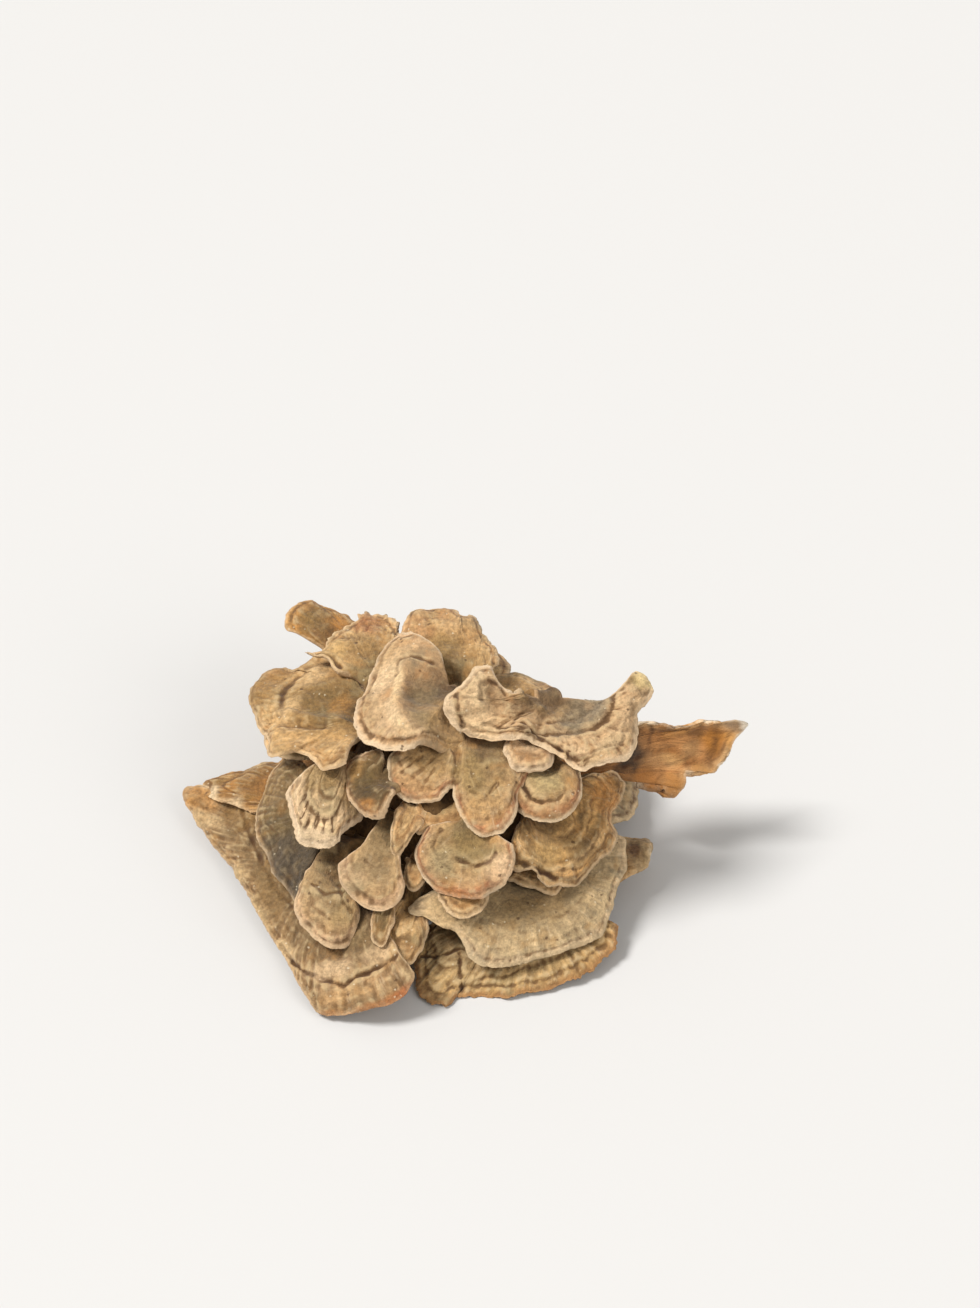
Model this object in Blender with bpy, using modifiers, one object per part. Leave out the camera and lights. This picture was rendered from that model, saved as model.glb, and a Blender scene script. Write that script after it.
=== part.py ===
"""A dried maitake cluster: thin zoned caps that fork from one woody base, cut off flat underneath.

The origin is the centre of the flat cut, +Z is up, and -Y is the side with the most caps.
Each cap is one sheet: a short stalk that leaves the base, then a fan that spreads from the cap's root.
All sizes are in millimetres until a point is written to a mesh.
"""

import math
from dataclasses import dataclass

import bmesh
import bpy
from mathutils import Vector
from mathutils.geometry import interpolate_bezier

MM = 0.001

# The base: a lumpy ellipsoid, bisected flat at z = 0.
BASE_CENTRE = Vector((0.0, 0.0, 12.0))
BASE_SEMI_AXES = Vector((34.0, 32.0, 34.0))
BASE_LUMP = 0.05
BASE_HEART = Vector((0.0, 0.0, 16.0))
BASE_SEGMENTS = 20
BASE_RINGS = 12
TRIMMER_FLOOR = -4.0
JOINT_GAP = 0.35

# A stalk starts inside the base, at this share of the base's size, and is trimmed at its surface.
STALK_FOOT_SHARE = 0.84
STALK_ROWS = 2

# Shares of the way from root to margin where a fan has a row of points.
FAN_ROWS = (0.0, 0.36, 0.74, 1.0)

TAN = (0.58, 0.40, 0.23, 1.0)
GREY_TAN = (0.36, 0.29, 0.20, 1.0)
ORANGE_TAN = (0.55, 0.27, 0.10, 1.0)
BARK = (0.16, 0.09, 0.05, 1.0)


@dataclass(frozen=True)
class Cap:
    """One cap of the cluster.

    Root and tip are points. The margin is a list of (angle, reach, lift) seen from the root: the
    angle is in degrees to the right of the line to the tip, and lift is how far the edge curls up.
    Ruffles counts the waves round the margin, and ruffle is their height.
    """

    name: str
    root: tuple
    tip: tuple
    margin: tuple
    dome: float = 2.0
    ruffles: int = 0
    ruffle: float = 0.0
    roll: float = 0.0
    columns: int = 11
    neck: float = 7.0
    thick: float = 3.0
    thin: float = 1.2
    colour: tuple = TAN


def round_margin(reach, width, necked=0.8, sweep=118.0, knots=9):
    """The margin of a plain round cap: an arc of an ellipse, which a necked cap narrows towards its root."""
    half_depth = reach / (1 + necked)
    margin = []
    for knot in range(knots):
        turn = math.radians(sweep) * (1 - 2 * knot / (knots - 1))
        along = reach - half_depth + half_depth * math.cos(turn)
        across = 0.5 * width * math.sin(turn)
        margin.append((math.degrees(math.atan2(across, along)), math.hypot(along, across), 0.0))
    return tuple(margin)


FRONT_CAPS = (
    Cap("front_left_cap", (-33, -23, 15), (-54, -36, 4),
        ((81, 34, 0), (77, 49, 0), (71, 61, 0), (61, 48, 0), (50, 37, 0), (27, 28, 0), (-3, 27, 0),
         (-29, 33, 0), (-50, 46, 0), (-67, 49, 0), (-79, 49, 0), (-87, 40, 0)),
        dome=2.0, ruffles=2, ruffle=0.8, columns=16, neck=18),
    Cap("front_right_cap", (18, -29, 18), (30, -53, 8),
        ((97, 26, 0), (88, 33, 0), (75, 29, 0), (66, 27, 0), (51, 31, 0), (31, 30, 0), (-3, 28, 0),
         (-29, 31, 0), (-49, 30, 0), (-69, 33, 0), (-85, 35, 0), (-90, 31, 0)),
        dome=2.0, ruffles=2, ruffle=0.8, columns=17, neck=12, colour=GREY_TAN),
    Cap("front_lower_cap", (19, -30, 9), (16, -61, 2.4),
        ((64, 30, 0), (51, 37, 0), (37, 42, 0), (23, 37, 0), (6, 33, 0), (-17, 32, 0), (-40, 32, 0),
         (-60, 33, 0), (-74, 30, 0)),
        dome=0.8, columns=14, neck=12, colour=ORANGE_TAN),
    Cap("small_tongue_cap", (-10, -37, 15), (-14, -57, 9), round_margin(20, 12.5), columns=7, neck=4),
    Cap("second_tongue_cap", (-16, -35, 20.6), (-19, -56, 16), round_margin(22, 9), dome=1.0,
        columns=6, neck=4),
    Cap("lower_left_cap", (-31, -26, 24.5), (-31, -52, 14),
        ((46, 12, 0), (34, 22, 0), (12, 29, 0), (-5, 29, 0), (-17, 22, 0)),
        dome=2.0, columns=10, neck=7),
    Cap("under_disc_cap", (3, -34, 23.5), (3, -50, 20.5), round_margin(15.5, 15), dome=0.6, columns=7,
        neck=6, thick=2.0),
    Cap("right_strip_cap", (37, -19, 10), (58, -16, 11),
        ((49, 13, 0), (23, 18, 0), (-3, 21, 0), (-17, 22, 0), (-26, 18, 0), (-40, 11, 0)),
        dome=0.5, columns=7, colour=ORANGE_TAN),
)

MIDDLE_CAPS = (
    Cap("left_corner_cap", (-39, -1, 18), (-72, 14, 12),
        ((45, 19, 0), (32, 27, 0), (16, 30, 0), (5, 38, 0), (-8, 34, 0), (-15, 26, 0), (-36, 14, 0)),
        dome=1.0, columns=9, colour=ORANGE_TAN),
    Cap("inner_left_cap", (-36, -13, 25), (-55, -14, 18),
        ((77, 28, 0), (63, 32, 0), (47, 27, 0), (24, 23, 0), (1, 21, 0), (-25, 21, -2), (-48, 24, -5),
         (-69, 29, -7), (-76, 24, -7)),
        dome=2.0, columns=12, neck=9, colour=GREY_TAN),
    Cap("left_fan_cap", (-16, -23, 33.6), (-22, -46, 21.8),
        ((34, 12, 0), (35, 20, 1), (26, 25, 1), (6, 28, 0), (-12, 28, 0), (-20, 20, 0), (-22, 12, 0)),
        dome=2.0, columns=11, neck=5),
    Cap("upper_tongue_cap", (-9, -23, 38), (-11.6, -36, 30.5), round_margin(16, 8), columns=6, neck=4),
    Cap("neck_cap", (-2, -20, 38.8), (-2.6, -27.8, 34.8), round_margin(8.2, 6.5, necked=0.3), dome=0.8,
        columns=6, neck=5, thick=1.6),
    Cap("shaded_cap", (-9, -31, 26), (-11, -41, 22), round_margin(11, 8), columns=6, neck=4, thick=2.0),
    Cap("disc_cap", (6, -28, 36), (1, -45, 24), round_margin(22, 29), dome=1.6, columns=11, neck=7),
    Cap("right_under_cap", (28, -24, 24), (25, -38, 19.5),
        ((50, 12, 0), (30, 17, 0), (5, 15, -1), (-20, 15, -3), (-42, 11, -4)),
        dome=0.5, columns=7, thick=2.0),
    Cap("right_cap", (23, -16, 34), (40, -33, 20),
        ((65, 19, 0), (57, 24, 0), (43, 23, 0), (25, 27, 0), (4, 28, 0), (-21, 28, 0), (-40, 25, 0),
         (-54, 28, 0), (-66, 31, 0), (-75, 27, 0), (-80, 14, 0)),
        dome=2.0, ruffles=2, ruffle=0.8, columns=14, neck=8),
    Cap("right_wing_cap", (41, 5, 28), (84, 7, 33),
        ((30, 17, 0), (24, 23, 0), (13, 35, 0), (5, 45, 0), (-2, 40, 0), (-11, 36, 0), (-7, 28, 0),
         (-22, 24, 0), (-27, 13, 0)),
        dome=1.5, roll=-100, columns=11, neck=6, colour=ORANGE_TAN),
)

UPPER_CAPS = (
    Cap("shell_cap", (-31, -5.6, 41.6), (-37, -32, 31),
        ((48, 13, 0), (35, 21, 0), (12, 29, 0), (-4, 29, 0), (-17, 23, 0), (-33, 19, 0), (-40, 13, 0)),
        dome=2.2, columns=10, neck=6),
    Cap("left_round_cap", (-17, -13, 39.2), (-26.8, -19.2, 33.5), round_margin(14, 20), columns=9, neck=6,
        colour=GREY_TAN),
    Cap("ring_cap", (28, -12, 45), (26, -29, 38), round_margin(19.5, 20), columns=9, neck=5),
    Cap("nodule_cap", (22, -9, 50), (23, -20, 47), round_margin(11.5, 15, necked=0.5), dome=1,
        columns=7, neck=5),
    Cap("centre_cap", (5, -5, 49), (2, -31, 38),
        ((74, 16, 0), (69, 22, 0), (51, 26, 0), (27, 25, 0), (10, 18, 0), (2, 24, 0), (-10, 31, 0),
         (-23, 32, 0), (-35, 26, 0), (-54, 17, 0)),
        dome=2.0, columns=14, neck=8),
    Cap("wavy_cap", (28, 2, 56), (29, -21, 51),
        ((112, 17, 5.5), (106, 22, 5.5), (93, 25, 5), (82, 30, 4.5), (69, 29, 1.5), (53, 23, -1), (37, 18, 0),
         (13, 17, -1), (-8, 23, 0), (-25, 27, 0), (-52, 30, 0), (-69, 27, 2), (-85, 29, 4),
         (-94, 26, 5), (-97, 18, 3)),
        dome=1.5, columns=16, neck=9),
    Cap("crown_left_cap", (1, 5, 54.5), (-27, 5, 50.5),
        ((66, 15, 2), (61, 30, 3), (44, 29, 1), (16, 27, 0), (-13, 29, 0), (-35, 29, 0), (-51, 26, 0),
         (-72, 21, 0), (-78, 15, 0)),
        dome=3.0, ruffles=3, ruffle=0.4, columns=12, neck=8),
    Cap("crown_back_cap", (4, 12, 49), (-4, 45, 52),
        ((60, 13, 0), (30, 21, 0), (28, 26, 0), (18, 30, 0), (12, 31, 0), (-4, 35, 0), (-20, 31, 0),
         (-30, 22, 0)),
        dome=2.0, ruffles=3, ruffle=0.6, columns=13, neck=8),
    Cap("crown_side_cap", (15.5, 9, 45), (25, 31, 37.5), round_margin(24, 27, sweep=95),
        ruffles=2, ruffle=0.8, columns=9, neck=7),
    Cap("left_big_cap", (-22, 4, 45.6), (-57, 14, 40),
        ((53, 26, 0), (42, 36, 0), (34, 35, 0), (30, 42, 0), (16, 42, 0), (-3, 36, 0), (-24, 30, 0),
         (-39, 30, 0), (-47, 23, 0), (-66, 24, 0), (-82, 20, 0)),
        dome=2.4, ruffles=3, ruffle=0.8, columns=15, neck=8),
    Cap("ridge_cap", (-21, 17.5, 49), (-31, 41, 49),
        ((42, 18, 0), (28, 31, 0), (16, 32, 0), (3, 27, 0), (-14, 24, 0), (-32, 25, 0)),
        dome=1.0, ruffles=3, ruffle=0.6, columns=11, neck=7),
)

BACK_CAPS = (
    Cap("back_left_cap", (-24, 32, 38), (-46, 53, 43),
        ((42, 18, 0), (34, 24, 0), (20, 30, 0), (5, 34, 0), (-8, 30, 0), (-14, 20, 0)),
        dome=2.0, columns=9, neck=6, colour=ORANGE_TAN),
    Cap("back_upper_cap", (0, 28, 36), (0, 52, 32), round_margin(25, 38, necked=0.5), ruffles=2,
        ruffle=1, columns=8),
    Cap("back_middle_cap", (-12, 31, 24), (-18, 55, 19), round_margin(25, 44, necked=0.4), ruffles=3,
        ruffle=1, columns=8),
    Cap("back_low_cap", (7, 32, 13), (9, 56, 5), round_margin(25, 46, necked=0.4), ruffles=2,
        ruffle=0.8, columns=8),
    Cap("back_right_cap", (28, 18, 25), (47, 31, 20), round_margin(23, 34, necked=0.4), ruffles=2,
        ruffle=1, columns=8),
    Cap("right_back_low_cap", (33, 10, 13), (56, 19, 7), round_margin(24, 38, necked=0.4), ruffles=3,
        ruffle=0.8, columns=8, colour=GREY_TAN),
    Cap("left_back_cap", (-33, 16, 31), (-52, 30, 27), round_margin(23, 34, necked=0.4), ruffles=2,
        ruffle=1, columns=8),
    Cap("left_low_cap", (-33, 16, 12), (-53, 30, 5), round_margin(24, 40, necked=0.4), ruffles=3,
        ruffle=0.8, columns=8, colour=ORANGE_TAN),
)

CAPS = FRONT_CAPS + MIDDLE_CAPS + UPPER_CAPS + BACK_CAPS


def base_point(direction, grow=0.0):
    """Where the base's surface lies along a direction from its centre, moved outwards by a distance."""
    turn = math.atan2(direction.y, direction.x)
    lump = BASE_LUMP * math.sqrt(1 - min(direction.z**2, 1)) * (
        math.sin(3 * turn + 0.6) + 0.7 * math.cos(5 * turn + 4 * direction.z)
    )
    return BASE_CENTRE + Vector(d * (a * (1 + lump) + grow) for d, a in zip(direction, BASE_SEMI_AXES))


def share_of_base(point):
    """How far out a point is in the base's plain ellipsoid: 0 at its centre and 1 on its surface."""
    offset = point - BASE_CENTRE
    return math.sqrt(sum((o / a) ** 2 for o, a in zip(offset, BASE_SEMI_AXES)))


def new_object(name, mesh, colour, collection):
    """A named object with its own plain material, in a collection."""
    material = bpy.data.materials.new(name)
    material.use_nodes = True
    shader = material.node_tree.nodes["Principled BSDF"]
    shader.inputs["Base Color"].default_value = colour
    shader.inputs["Roughness"].default_value = 0.85
    shader.inputs["Metallic"].default_value = 0.0
    mesh.materials.append(material)
    mesh.shade_smooth()
    obj = bpy.data.objects.new(name, mesh)
    collection.objects.link(obj)
    return obj


def make_base(name, grow, floor, collection):
    """The base, or with a grow above 0 the slightly larger cutter that trims the stalks."""
    bm = bmesh.new()
    bmesh.ops.create_uvsphere(bm, u_segments=BASE_SEGMENTS, v_segments=BASE_RINGS, radius=1.0)
    for vert in bm.verts:
        vert.co = base_point(vert.co.normalized(), grow) * MM
    geometry = bm.verts[:] + bm.edges[:] + bm.faces[:]
    cut = bmesh.ops.bisect_plane(
        bm, geom=geometry, plane_co=(0, 0, floor * MM), plane_no=(0, 0, -1), clear_outer=True
    )
    rim = [item for item in cut["geom_cut"] if isinstance(item, bmesh.types.BMEdge)]
    bmesh.ops.edgeloop_fill(bm, edges=rim)
    bmesh.ops.recalc_face_normals(bm, faces=bm.faces[:])
    mesh = bpy.data.meshes.new(name)
    bm.to_mesh(mesh)
    bm.free()
    return new_object(name, mesh, BARK, collection)


def cap_axes(cap):
    """The cap's own axes: forward from root to tip, to the right of it, and up out of its top."""
    forward = (Vector(cap.tip) - Vector(cap.root)).normalized()
    level = (Vector((0, 0, 1)) - forward * forward.z).normalized()
    right = forward.cross(level)
    roll = math.radians(cap.roll)
    up = level * math.cos(roll) + right * math.sin(roll)
    return forward, forward.cross(up), up


def margin_at(cap, share):
    """The margin's (along, right, lift) at a share of its length, on a smooth curve through its knots."""
    knots = []
    for angle, reach, lift in cap.margin:
        turn = math.radians(angle)
        knots.append(Vector((reach * math.cos(turn), reach * math.sin(turn), lift)))
    spans = [(there - here).length for here, there in zip(knots, knots[1:])]
    left = share * sum(spans)
    span = 0
    while span < len(spans) - 1 and left > spans[span]:
        left -= spans[span]
        span += 1
    here, there = knots[span], knots[span + 1]
    before = knots[max(span - 1, 0)]
    after = knots[min(span + 2, len(knots) - 1)]
    t = min(left / spans[span], 1.0)
    s = 1 - t
    leave = here + (there - before) / 6
    arrive = there - (after - here) / 6
    return s**3 * here + 3 * s * s * t * leave + 3 * s * t * t * arrive + t**3 * there


def stalk_line(cap, forward):
    """Points down the middle of the stalk, from inside the base up to the cap's root."""
    root = Vector(cap.root)
    share = 0.0
    while share < 1 and share_of_base(root.lerp(BASE_HEART, share)) > STALK_FOOT_SHARE:
        share += 0.01
    foot = root.lerp(BASE_HEART, share)
    length = (root - foot).length
    arrive = root - forward * 0.4 * length
    return interpolate_bezier(foot, foot.lerp(root, 0.35), arrive, root, STALK_ROWS + 1)


def sheet_point(cap, axes, stalk, u, row):
    """A point on the cap's top: u is the share of the way round, and rows run from foot to margin."""
    forward, right, up = axes
    across = (0.5 - u) * cap.neck
    if row < STALK_ROWS:
        return stalk[row] + right * across
    v = FAN_ROWS[row - STALK_ROWS]
    flat = Vector((0, across, 0)).lerp(margin_at(cap, u), v)
    height = flat.z * v + cap.dome * math.sin(math.pi * v**0.85)
    height += cap.ruffle * v * v * math.sin(2 * math.pi * cap.ruffles * u)
    return Vector(cap.root) + forward * flat.x + right * flat.y + up * height


def make_cap(cap, trimmer, collection):
    """One cap: a grid laid over its sheet, thickened underneath and trimmed where it meets the base."""
    axes = cap_axes(cap)
    stalk = stalk_line(cap, axes[0])
    rows = STALK_ROWS + len(FAN_ROWS)
    bm = bmesh.new()
    bmesh.ops.create_grid(bm, x_segments=cap.columns, y_segments=rows - 1, size=1.0)
    weights = []
    for vert in bm.verts:
        u = (vert.co.x + 1) / 2
        row = round((vert.co.y + 1) / 2 * (rows - 1))
        vert.co = sheet_point(cap, axes, stalk, u, row) * MM
        v = FAN_ROWS[max(row - STALK_ROWS, 0)]
        weights.append(1 + (cap.thin / cap.thick - 1) * v)
    mesh = bpy.data.meshes.new(cap.name)
    bm.to_mesh(mesh)
    bm.free()
    obj = new_object(cap.name, mesh, cap.colour, collection)
    group = obj.vertex_groups.new(name="thickness")
    for index, weight in enumerate(weights):
        group.add([index], weight, "REPLACE")
    solidify = obj.modifiers.new("Sheet", "SOLIDIFY")
    solidify.thickness = cap.thick * MM
    solidify.offset = 1
    solidify.vertex_group = group.name
    trim = obj.modifiers.new("Trim at base", "BOOLEAN")
    trim.operation = "DIFFERENCE"
    trim.object = trimmer
    return obj


def main():
    for obj in list(bpy.data.objects):
        bpy.data.objects.remove(obj)
    cluster = bpy.data.collections.new("maitake")
    cutters = bpy.data.collections.new("cutters")
    bpy.context.scene.collection.children.link(cluster)
    bpy.context.scene.collection.children.link(cutters)
    make_base("base", 0.0, 0.0, cluster)
    trimmer = make_base("base_trimmer", JOINT_GAP, TRIMMER_FLOOR, cutters)
    trimmer.hide_render = True
    trimmer.display_type = "WIRE"
    for cap in CAPS:
        make_cap(cap, trimmer, cluster)
    bpy.context.view_layer.update()


main()
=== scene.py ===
"""A dried maitake cluster: the finished look of each cap and of the woody base they grow from.

Every cap is a fine sheet on the same root, tip and margin as its solid, with growth steps, radial
wrinkles, cracks and a thin rolled lip worked into the mesh. Sizes and places are in millimetres,
in the frame of the solids, until a mesh is written.
"""

import itertools
import logging
import math
from collections.abc import Mapping, Sequence
from dataclasses import dataclass, replace
from enum import StrEnum
from typing import Any

import bpy
import numpy as np
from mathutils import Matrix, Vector
from mathutils.geometry import interpolate_bezier

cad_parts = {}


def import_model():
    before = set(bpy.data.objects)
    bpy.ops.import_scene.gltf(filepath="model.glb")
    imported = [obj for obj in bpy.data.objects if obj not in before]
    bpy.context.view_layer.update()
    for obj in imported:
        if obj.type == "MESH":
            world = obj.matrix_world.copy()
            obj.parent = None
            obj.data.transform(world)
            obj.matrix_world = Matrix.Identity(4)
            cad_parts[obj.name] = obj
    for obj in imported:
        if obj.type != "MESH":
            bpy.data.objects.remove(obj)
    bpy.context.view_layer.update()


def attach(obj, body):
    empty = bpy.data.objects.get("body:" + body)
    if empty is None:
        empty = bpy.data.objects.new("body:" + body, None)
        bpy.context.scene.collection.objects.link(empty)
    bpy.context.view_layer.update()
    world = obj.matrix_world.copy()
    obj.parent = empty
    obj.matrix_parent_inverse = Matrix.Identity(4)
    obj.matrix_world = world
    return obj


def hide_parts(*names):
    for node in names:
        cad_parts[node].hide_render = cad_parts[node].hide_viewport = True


LOG = logging.getLogger("maitake")

MM = 0.001
BODY = "root"

Knot = tuple[float, float, float]
Point = tuple[float, float, float]
Polar = tuple[float, float]
Span = tuple[float, float]
Margin = tuple[Knot, ...]


class Slot(StrEnum):
    """The record's material slots that a cap can have."""

    TAN = "tan_cap"
    GREY = "grey_cap"
    ORANGE = "orange_cap"


def linear(colour: str) -> tuple[float, float, float, float]:
    """Turn an sRGB hex colour into the linear values that a node socket holds.

    Args:
        colour: Six hex digits after a hash sign.

    Returns:
        Red, green, blue and an alpha of 1.
    """
    channels = [int(colour[i : i + 2], 16) / 255 for i in (1, 3, 5)]
    red, green, blue = (c / 12.92 if c <= 0.04045 else ((c + 0.055) / 1.055) ** 2.4 for c in channels)
    return red, green, blue, 1.0


def smoothstep(low: float, high: float, value: np.ndarray) -> np.ndarray:
    """Rise smoothly from 0 at low to 1 at high; falls instead where high is below low."""
    t = np.clip((value - low) / (high - low), 0.0, 1.0)
    return t * t * (3 - 2 * t)


def unit(vectors: np.ndarray) -> np.ndarray:
    """Scale vectors, whose coordinates come last, to a length of 1."""
    return vectors / np.maximum(np.linalg.norm(vectors, axis=-1, keepdims=True), 1e-9)


def polar(bearing: float, reach: float) -> Polar:
    """Turn a bearing in degrees and a reach into a distance along and one across."""
    turn = math.radians(bearing)
    return reach * math.cos(turn), reach * math.sin(turn)


class LatticeNoise:
    """Smooth gradient noise in three dimensions, about -1 to 1, the same on every run."""

    # Cells before the lattice repeats, a power of two
    CELLS = 256
    # Where a coordinate that isn't given lies, and how far apart the octaves lie, in cells
    UNGIVEN = 0.37
    OCTAVE_SHIFT = 11.3
    GAIN = 1.7

    def __init__(self, seed: int) -> None:
        """Draw the lattice's gradients.

        Args:
            seed: Picks one of many unlike patterns.
        """
        draw = np.random.default_rng(seed)
        self.shuffle = draw.permutation(self.CELLS)
        self.gradients = unit(draw.normal(size=(self.CELLS, 3)))

    def __call__(self, *axes: np.ndarray | float) -> np.ndarray:
        """Give the noise at points whose coordinates are in lattice cells.

        Args:
            axes: Up to three coordinates, as arrays or single numbers that broadcast together.

        Returns:
            One value for each point.
        """
        spread = np.broadcast_arrays(*axes, *([self.UNGIVEN] * (3 - len(axes))))
        points = np.stack(spread, axis=-1).astype(float)
        cell = np.floor(points).astype(int)
        within = points - cell
        fade = within**3 * (within * (within * 6 - 15) + 10)
        total = np.zeros(points.shape[:-1])
        for corner in itertools.product((0, 1), repeat=3):
            place = (cell + corner) % self.CELLS
            index = self.shuffle[place[..., 0]]
            index = self.shuffle[(index + place[..., 1]) % self.CELLS]
            index = self.shuffle[(index + place[..., 2]) % self.CELLS]
            weight = np.prod(np.where(np.array(corner) == 1, fade, 1 - fade), axis=-1)
            total += weight * np.sum((within - corner) * self.gradients[index], axis=-1)
        return total * self.GAIN

    def fractal(self, *axes: np.ndarray | float, octaves: int = 3) -> np.ndarray:
        """Add finer and weaker copies of the noise to itself.

        Args:
            axes: As for a plain call.
            octaves: How many copies are added.

        Returns:
            One value for each point.
        """
        total: Any = 0.0
        for octave in range(octaves):
            scaled = [np.asarray(axis) * 2.0**octave + self.OCTAVE_SHIFT * octave for axis in axes]
            total = total + self(*scaled) * 0.5**octave
        return total

    def at(self, points: np.ndarray, octaves: int = 1) -> np.ndarray:
        """Give the noise at points in lattice cells, whose three coordinates come last."""
        return self.fractal(*np.moveaxis(points, -1, 0), octaves=octaves)


class Shading:
    """A node material while its nodes are added.

    Attributes:
        material: The material.
        tree: Its node tree.
    """

    # What the nodes of a kind are set to where a call says nothing else
    USUAL: Mapping[str, Mapping[str, str]] = {
        "Math": {"operation": "MULTIPLY"},
        "MapRange": {"interpolation_type": "SMOOTHSTEP"},
        "Mix": {"data_type": "RGBA"},
    }
    # A Mix node's colour sockets share their names with others, so they are known by number
    SHARE = 0
    BELOW = 6
    ABOVE = 7
    MIXED = 2
    NOISE_ROUGHNESS = 0.6
    # How far from its middle a fleck begins and shows in full, as a share of its cell's width
    FLECK_FADE = (0.24, 0.10)
    # The share of the cells that have one
    FLECKED_CELLS = 0.10
    DRY_IOR = 1.45
    DRY_SPECULAR = 0.3

    def __init__(self, name: str) -> None:
        """Start an empty material.

        Args:
            name: What the material is called.
        """
        self.material = bpy.data.materials.new(name)
        self.material.use_nodes = True
        self.tree = self.material.node_tree
        self.tree.nodes.clear()

    def add(
        self, kind: str, inputs: Mapping[str | int, Any] | Sequence[Any] = (), **settings: Any
    ) -> bpy.types.Node:
        """Add a node with its settings, and give each of its inputs a value or a link.

        Args:
            kind: The node's type name, without the word that all of them start with.
            inputs: What each input gets, by name or in order: a number, a colour, an output of
                another node, or a node for its first output.
            settings: Properties of the node that differ from its usual ones.

        Returns:
            The new node.
        """
        node = self.tree.nodes.new("ShaderNode" + kind)
        for key, value in {**self.USUAL.get(kind, {}), **settings}.items():
            setattr(node, key, value)
        for key, value in inputs.items() if isinstance(inputs, Mapping) else enumerate(inputs):
            source = value.outputs[0] if isinstance(value, bpy.types.Node) else value
            if isinstance(source, bpy.types.NodeSocket):
                self.tree.links.new(source, node.inputs[key])
            else:
                node.inputs[key].default_value = source
        return node

    def tone(self, colour: Any, pattern: Any, span: Span, gains: Span) -> bpy.types.Node:
        """Darken and brighten a colour by a pattern.

        Args:
            colour: The colour.
            pattern: The pattern's value.
            span: The values between which the colour changes.
            gains: How bright it is made at each of them.

        Returns:
            A node that gives the changed colour.
        """
        gain = self.add("MapRange", [pattern, *span, *gains])
        return self.add("VectorMath", {0: colour, "Scale": gain}, operation="SCALE")

    def coat(self, colour: Any, over: str, pattern: Any, span: Span, most: Any) -> bpy.types.NodeSocket:
        """Lay a second colour over the first by a pattern.

        Args:
            colour: The first colour.
            over: The second, in hex.
            pattern: The pattern's value.
            span: The values between which the second colour comes up.
            most: How much of it shows beyond the second of them, 0 to 1.

        Returns:
            The mixed colour.
        """
        share = self.add("MapRange", [pattern, *span, 0.0, most])
        layers = {self.SHARE: share, self.BELOW: colour, self.ABOVE: linear(over)}
        return self.add("Mix", layers).outputs[self.MIXED]

    def specks(
        self, place: bpy.types.NodeSocket, colour: Any, over: str, gap: float, most: float
    ) -> bpy.types.NodeSocket:
        """Scatter ragged flecks, one in some of the cells of a pattern.

        Args:
            place: Where the pattern lies.
            colour: The colour under the flecks.
            over: The flecks' own, in hex.
            gap: Width of the cells, in mm.
            most: How much of a fleck shows, 0 to 1.

        Returns:
            The flecked colour.
        """
        scale = 1 / (gap * MM)
        distance, lot = self.add("TexVoronoi", {"Vector": place, "Scale": scale}).outputs[:2]
        finer = {"Vector": place, "Scale": 3 * scale, "Detail": 2.0, "Roughness": self.NOISE_ROUGHNESS}
        rough = self.add("Math", [self.add("TexNoise", finer), 0.5, -0.25], operation="MULTIPLY_ADD")
        ragged = self.add("Math", [distance, rough], operation="ADD")
        drawn = [self.add("SeparateColor", [lot]), 1 - self.FLECKED_CELLS]
        shown = self.add("Math", [self.add("Math", drawn, operation="GREATER_THAN"), most])
        return self.coat(colour, over, ragged, self.FLECK_FADE, shown)

    def surface(
        self, colour: Any, relief: Any, strength: float, depth: float, roughness: float, velvet: float = 0.0
    ) -> bpy.types.Material:
        """Close the material with a dry rough surface.

        Args:
            colour: Its colour.
            relief: The pattern of its grain.
            strength: How strongly the grain shows, 0 to 1.
            depth: The grain's depth, in mm.
            roughness: How matt it is, 0 to 1.
            velvet: How much fine down lightens it where it is seen at a slant, 0 to 1.

        Returns:
            The finished material.
        """
        bump = self.add("Bump", {"Strength": strength, "Distance": depth * MM, "Height": relief})
        shader = self.add("BsdfPrincipled", {
            "Base Color": colour, "Roughness": roughness, "Normal": bump, "IOR": self.DRY_IOR,
            "Specular IOR Level": self.DRY_SPECULAR, "Sheen Weight": velvet, "Sheen Roughness": 0.5,
        })
        self.add("OutputMaterial", {"Surface": shader})
        return self.material


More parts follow.
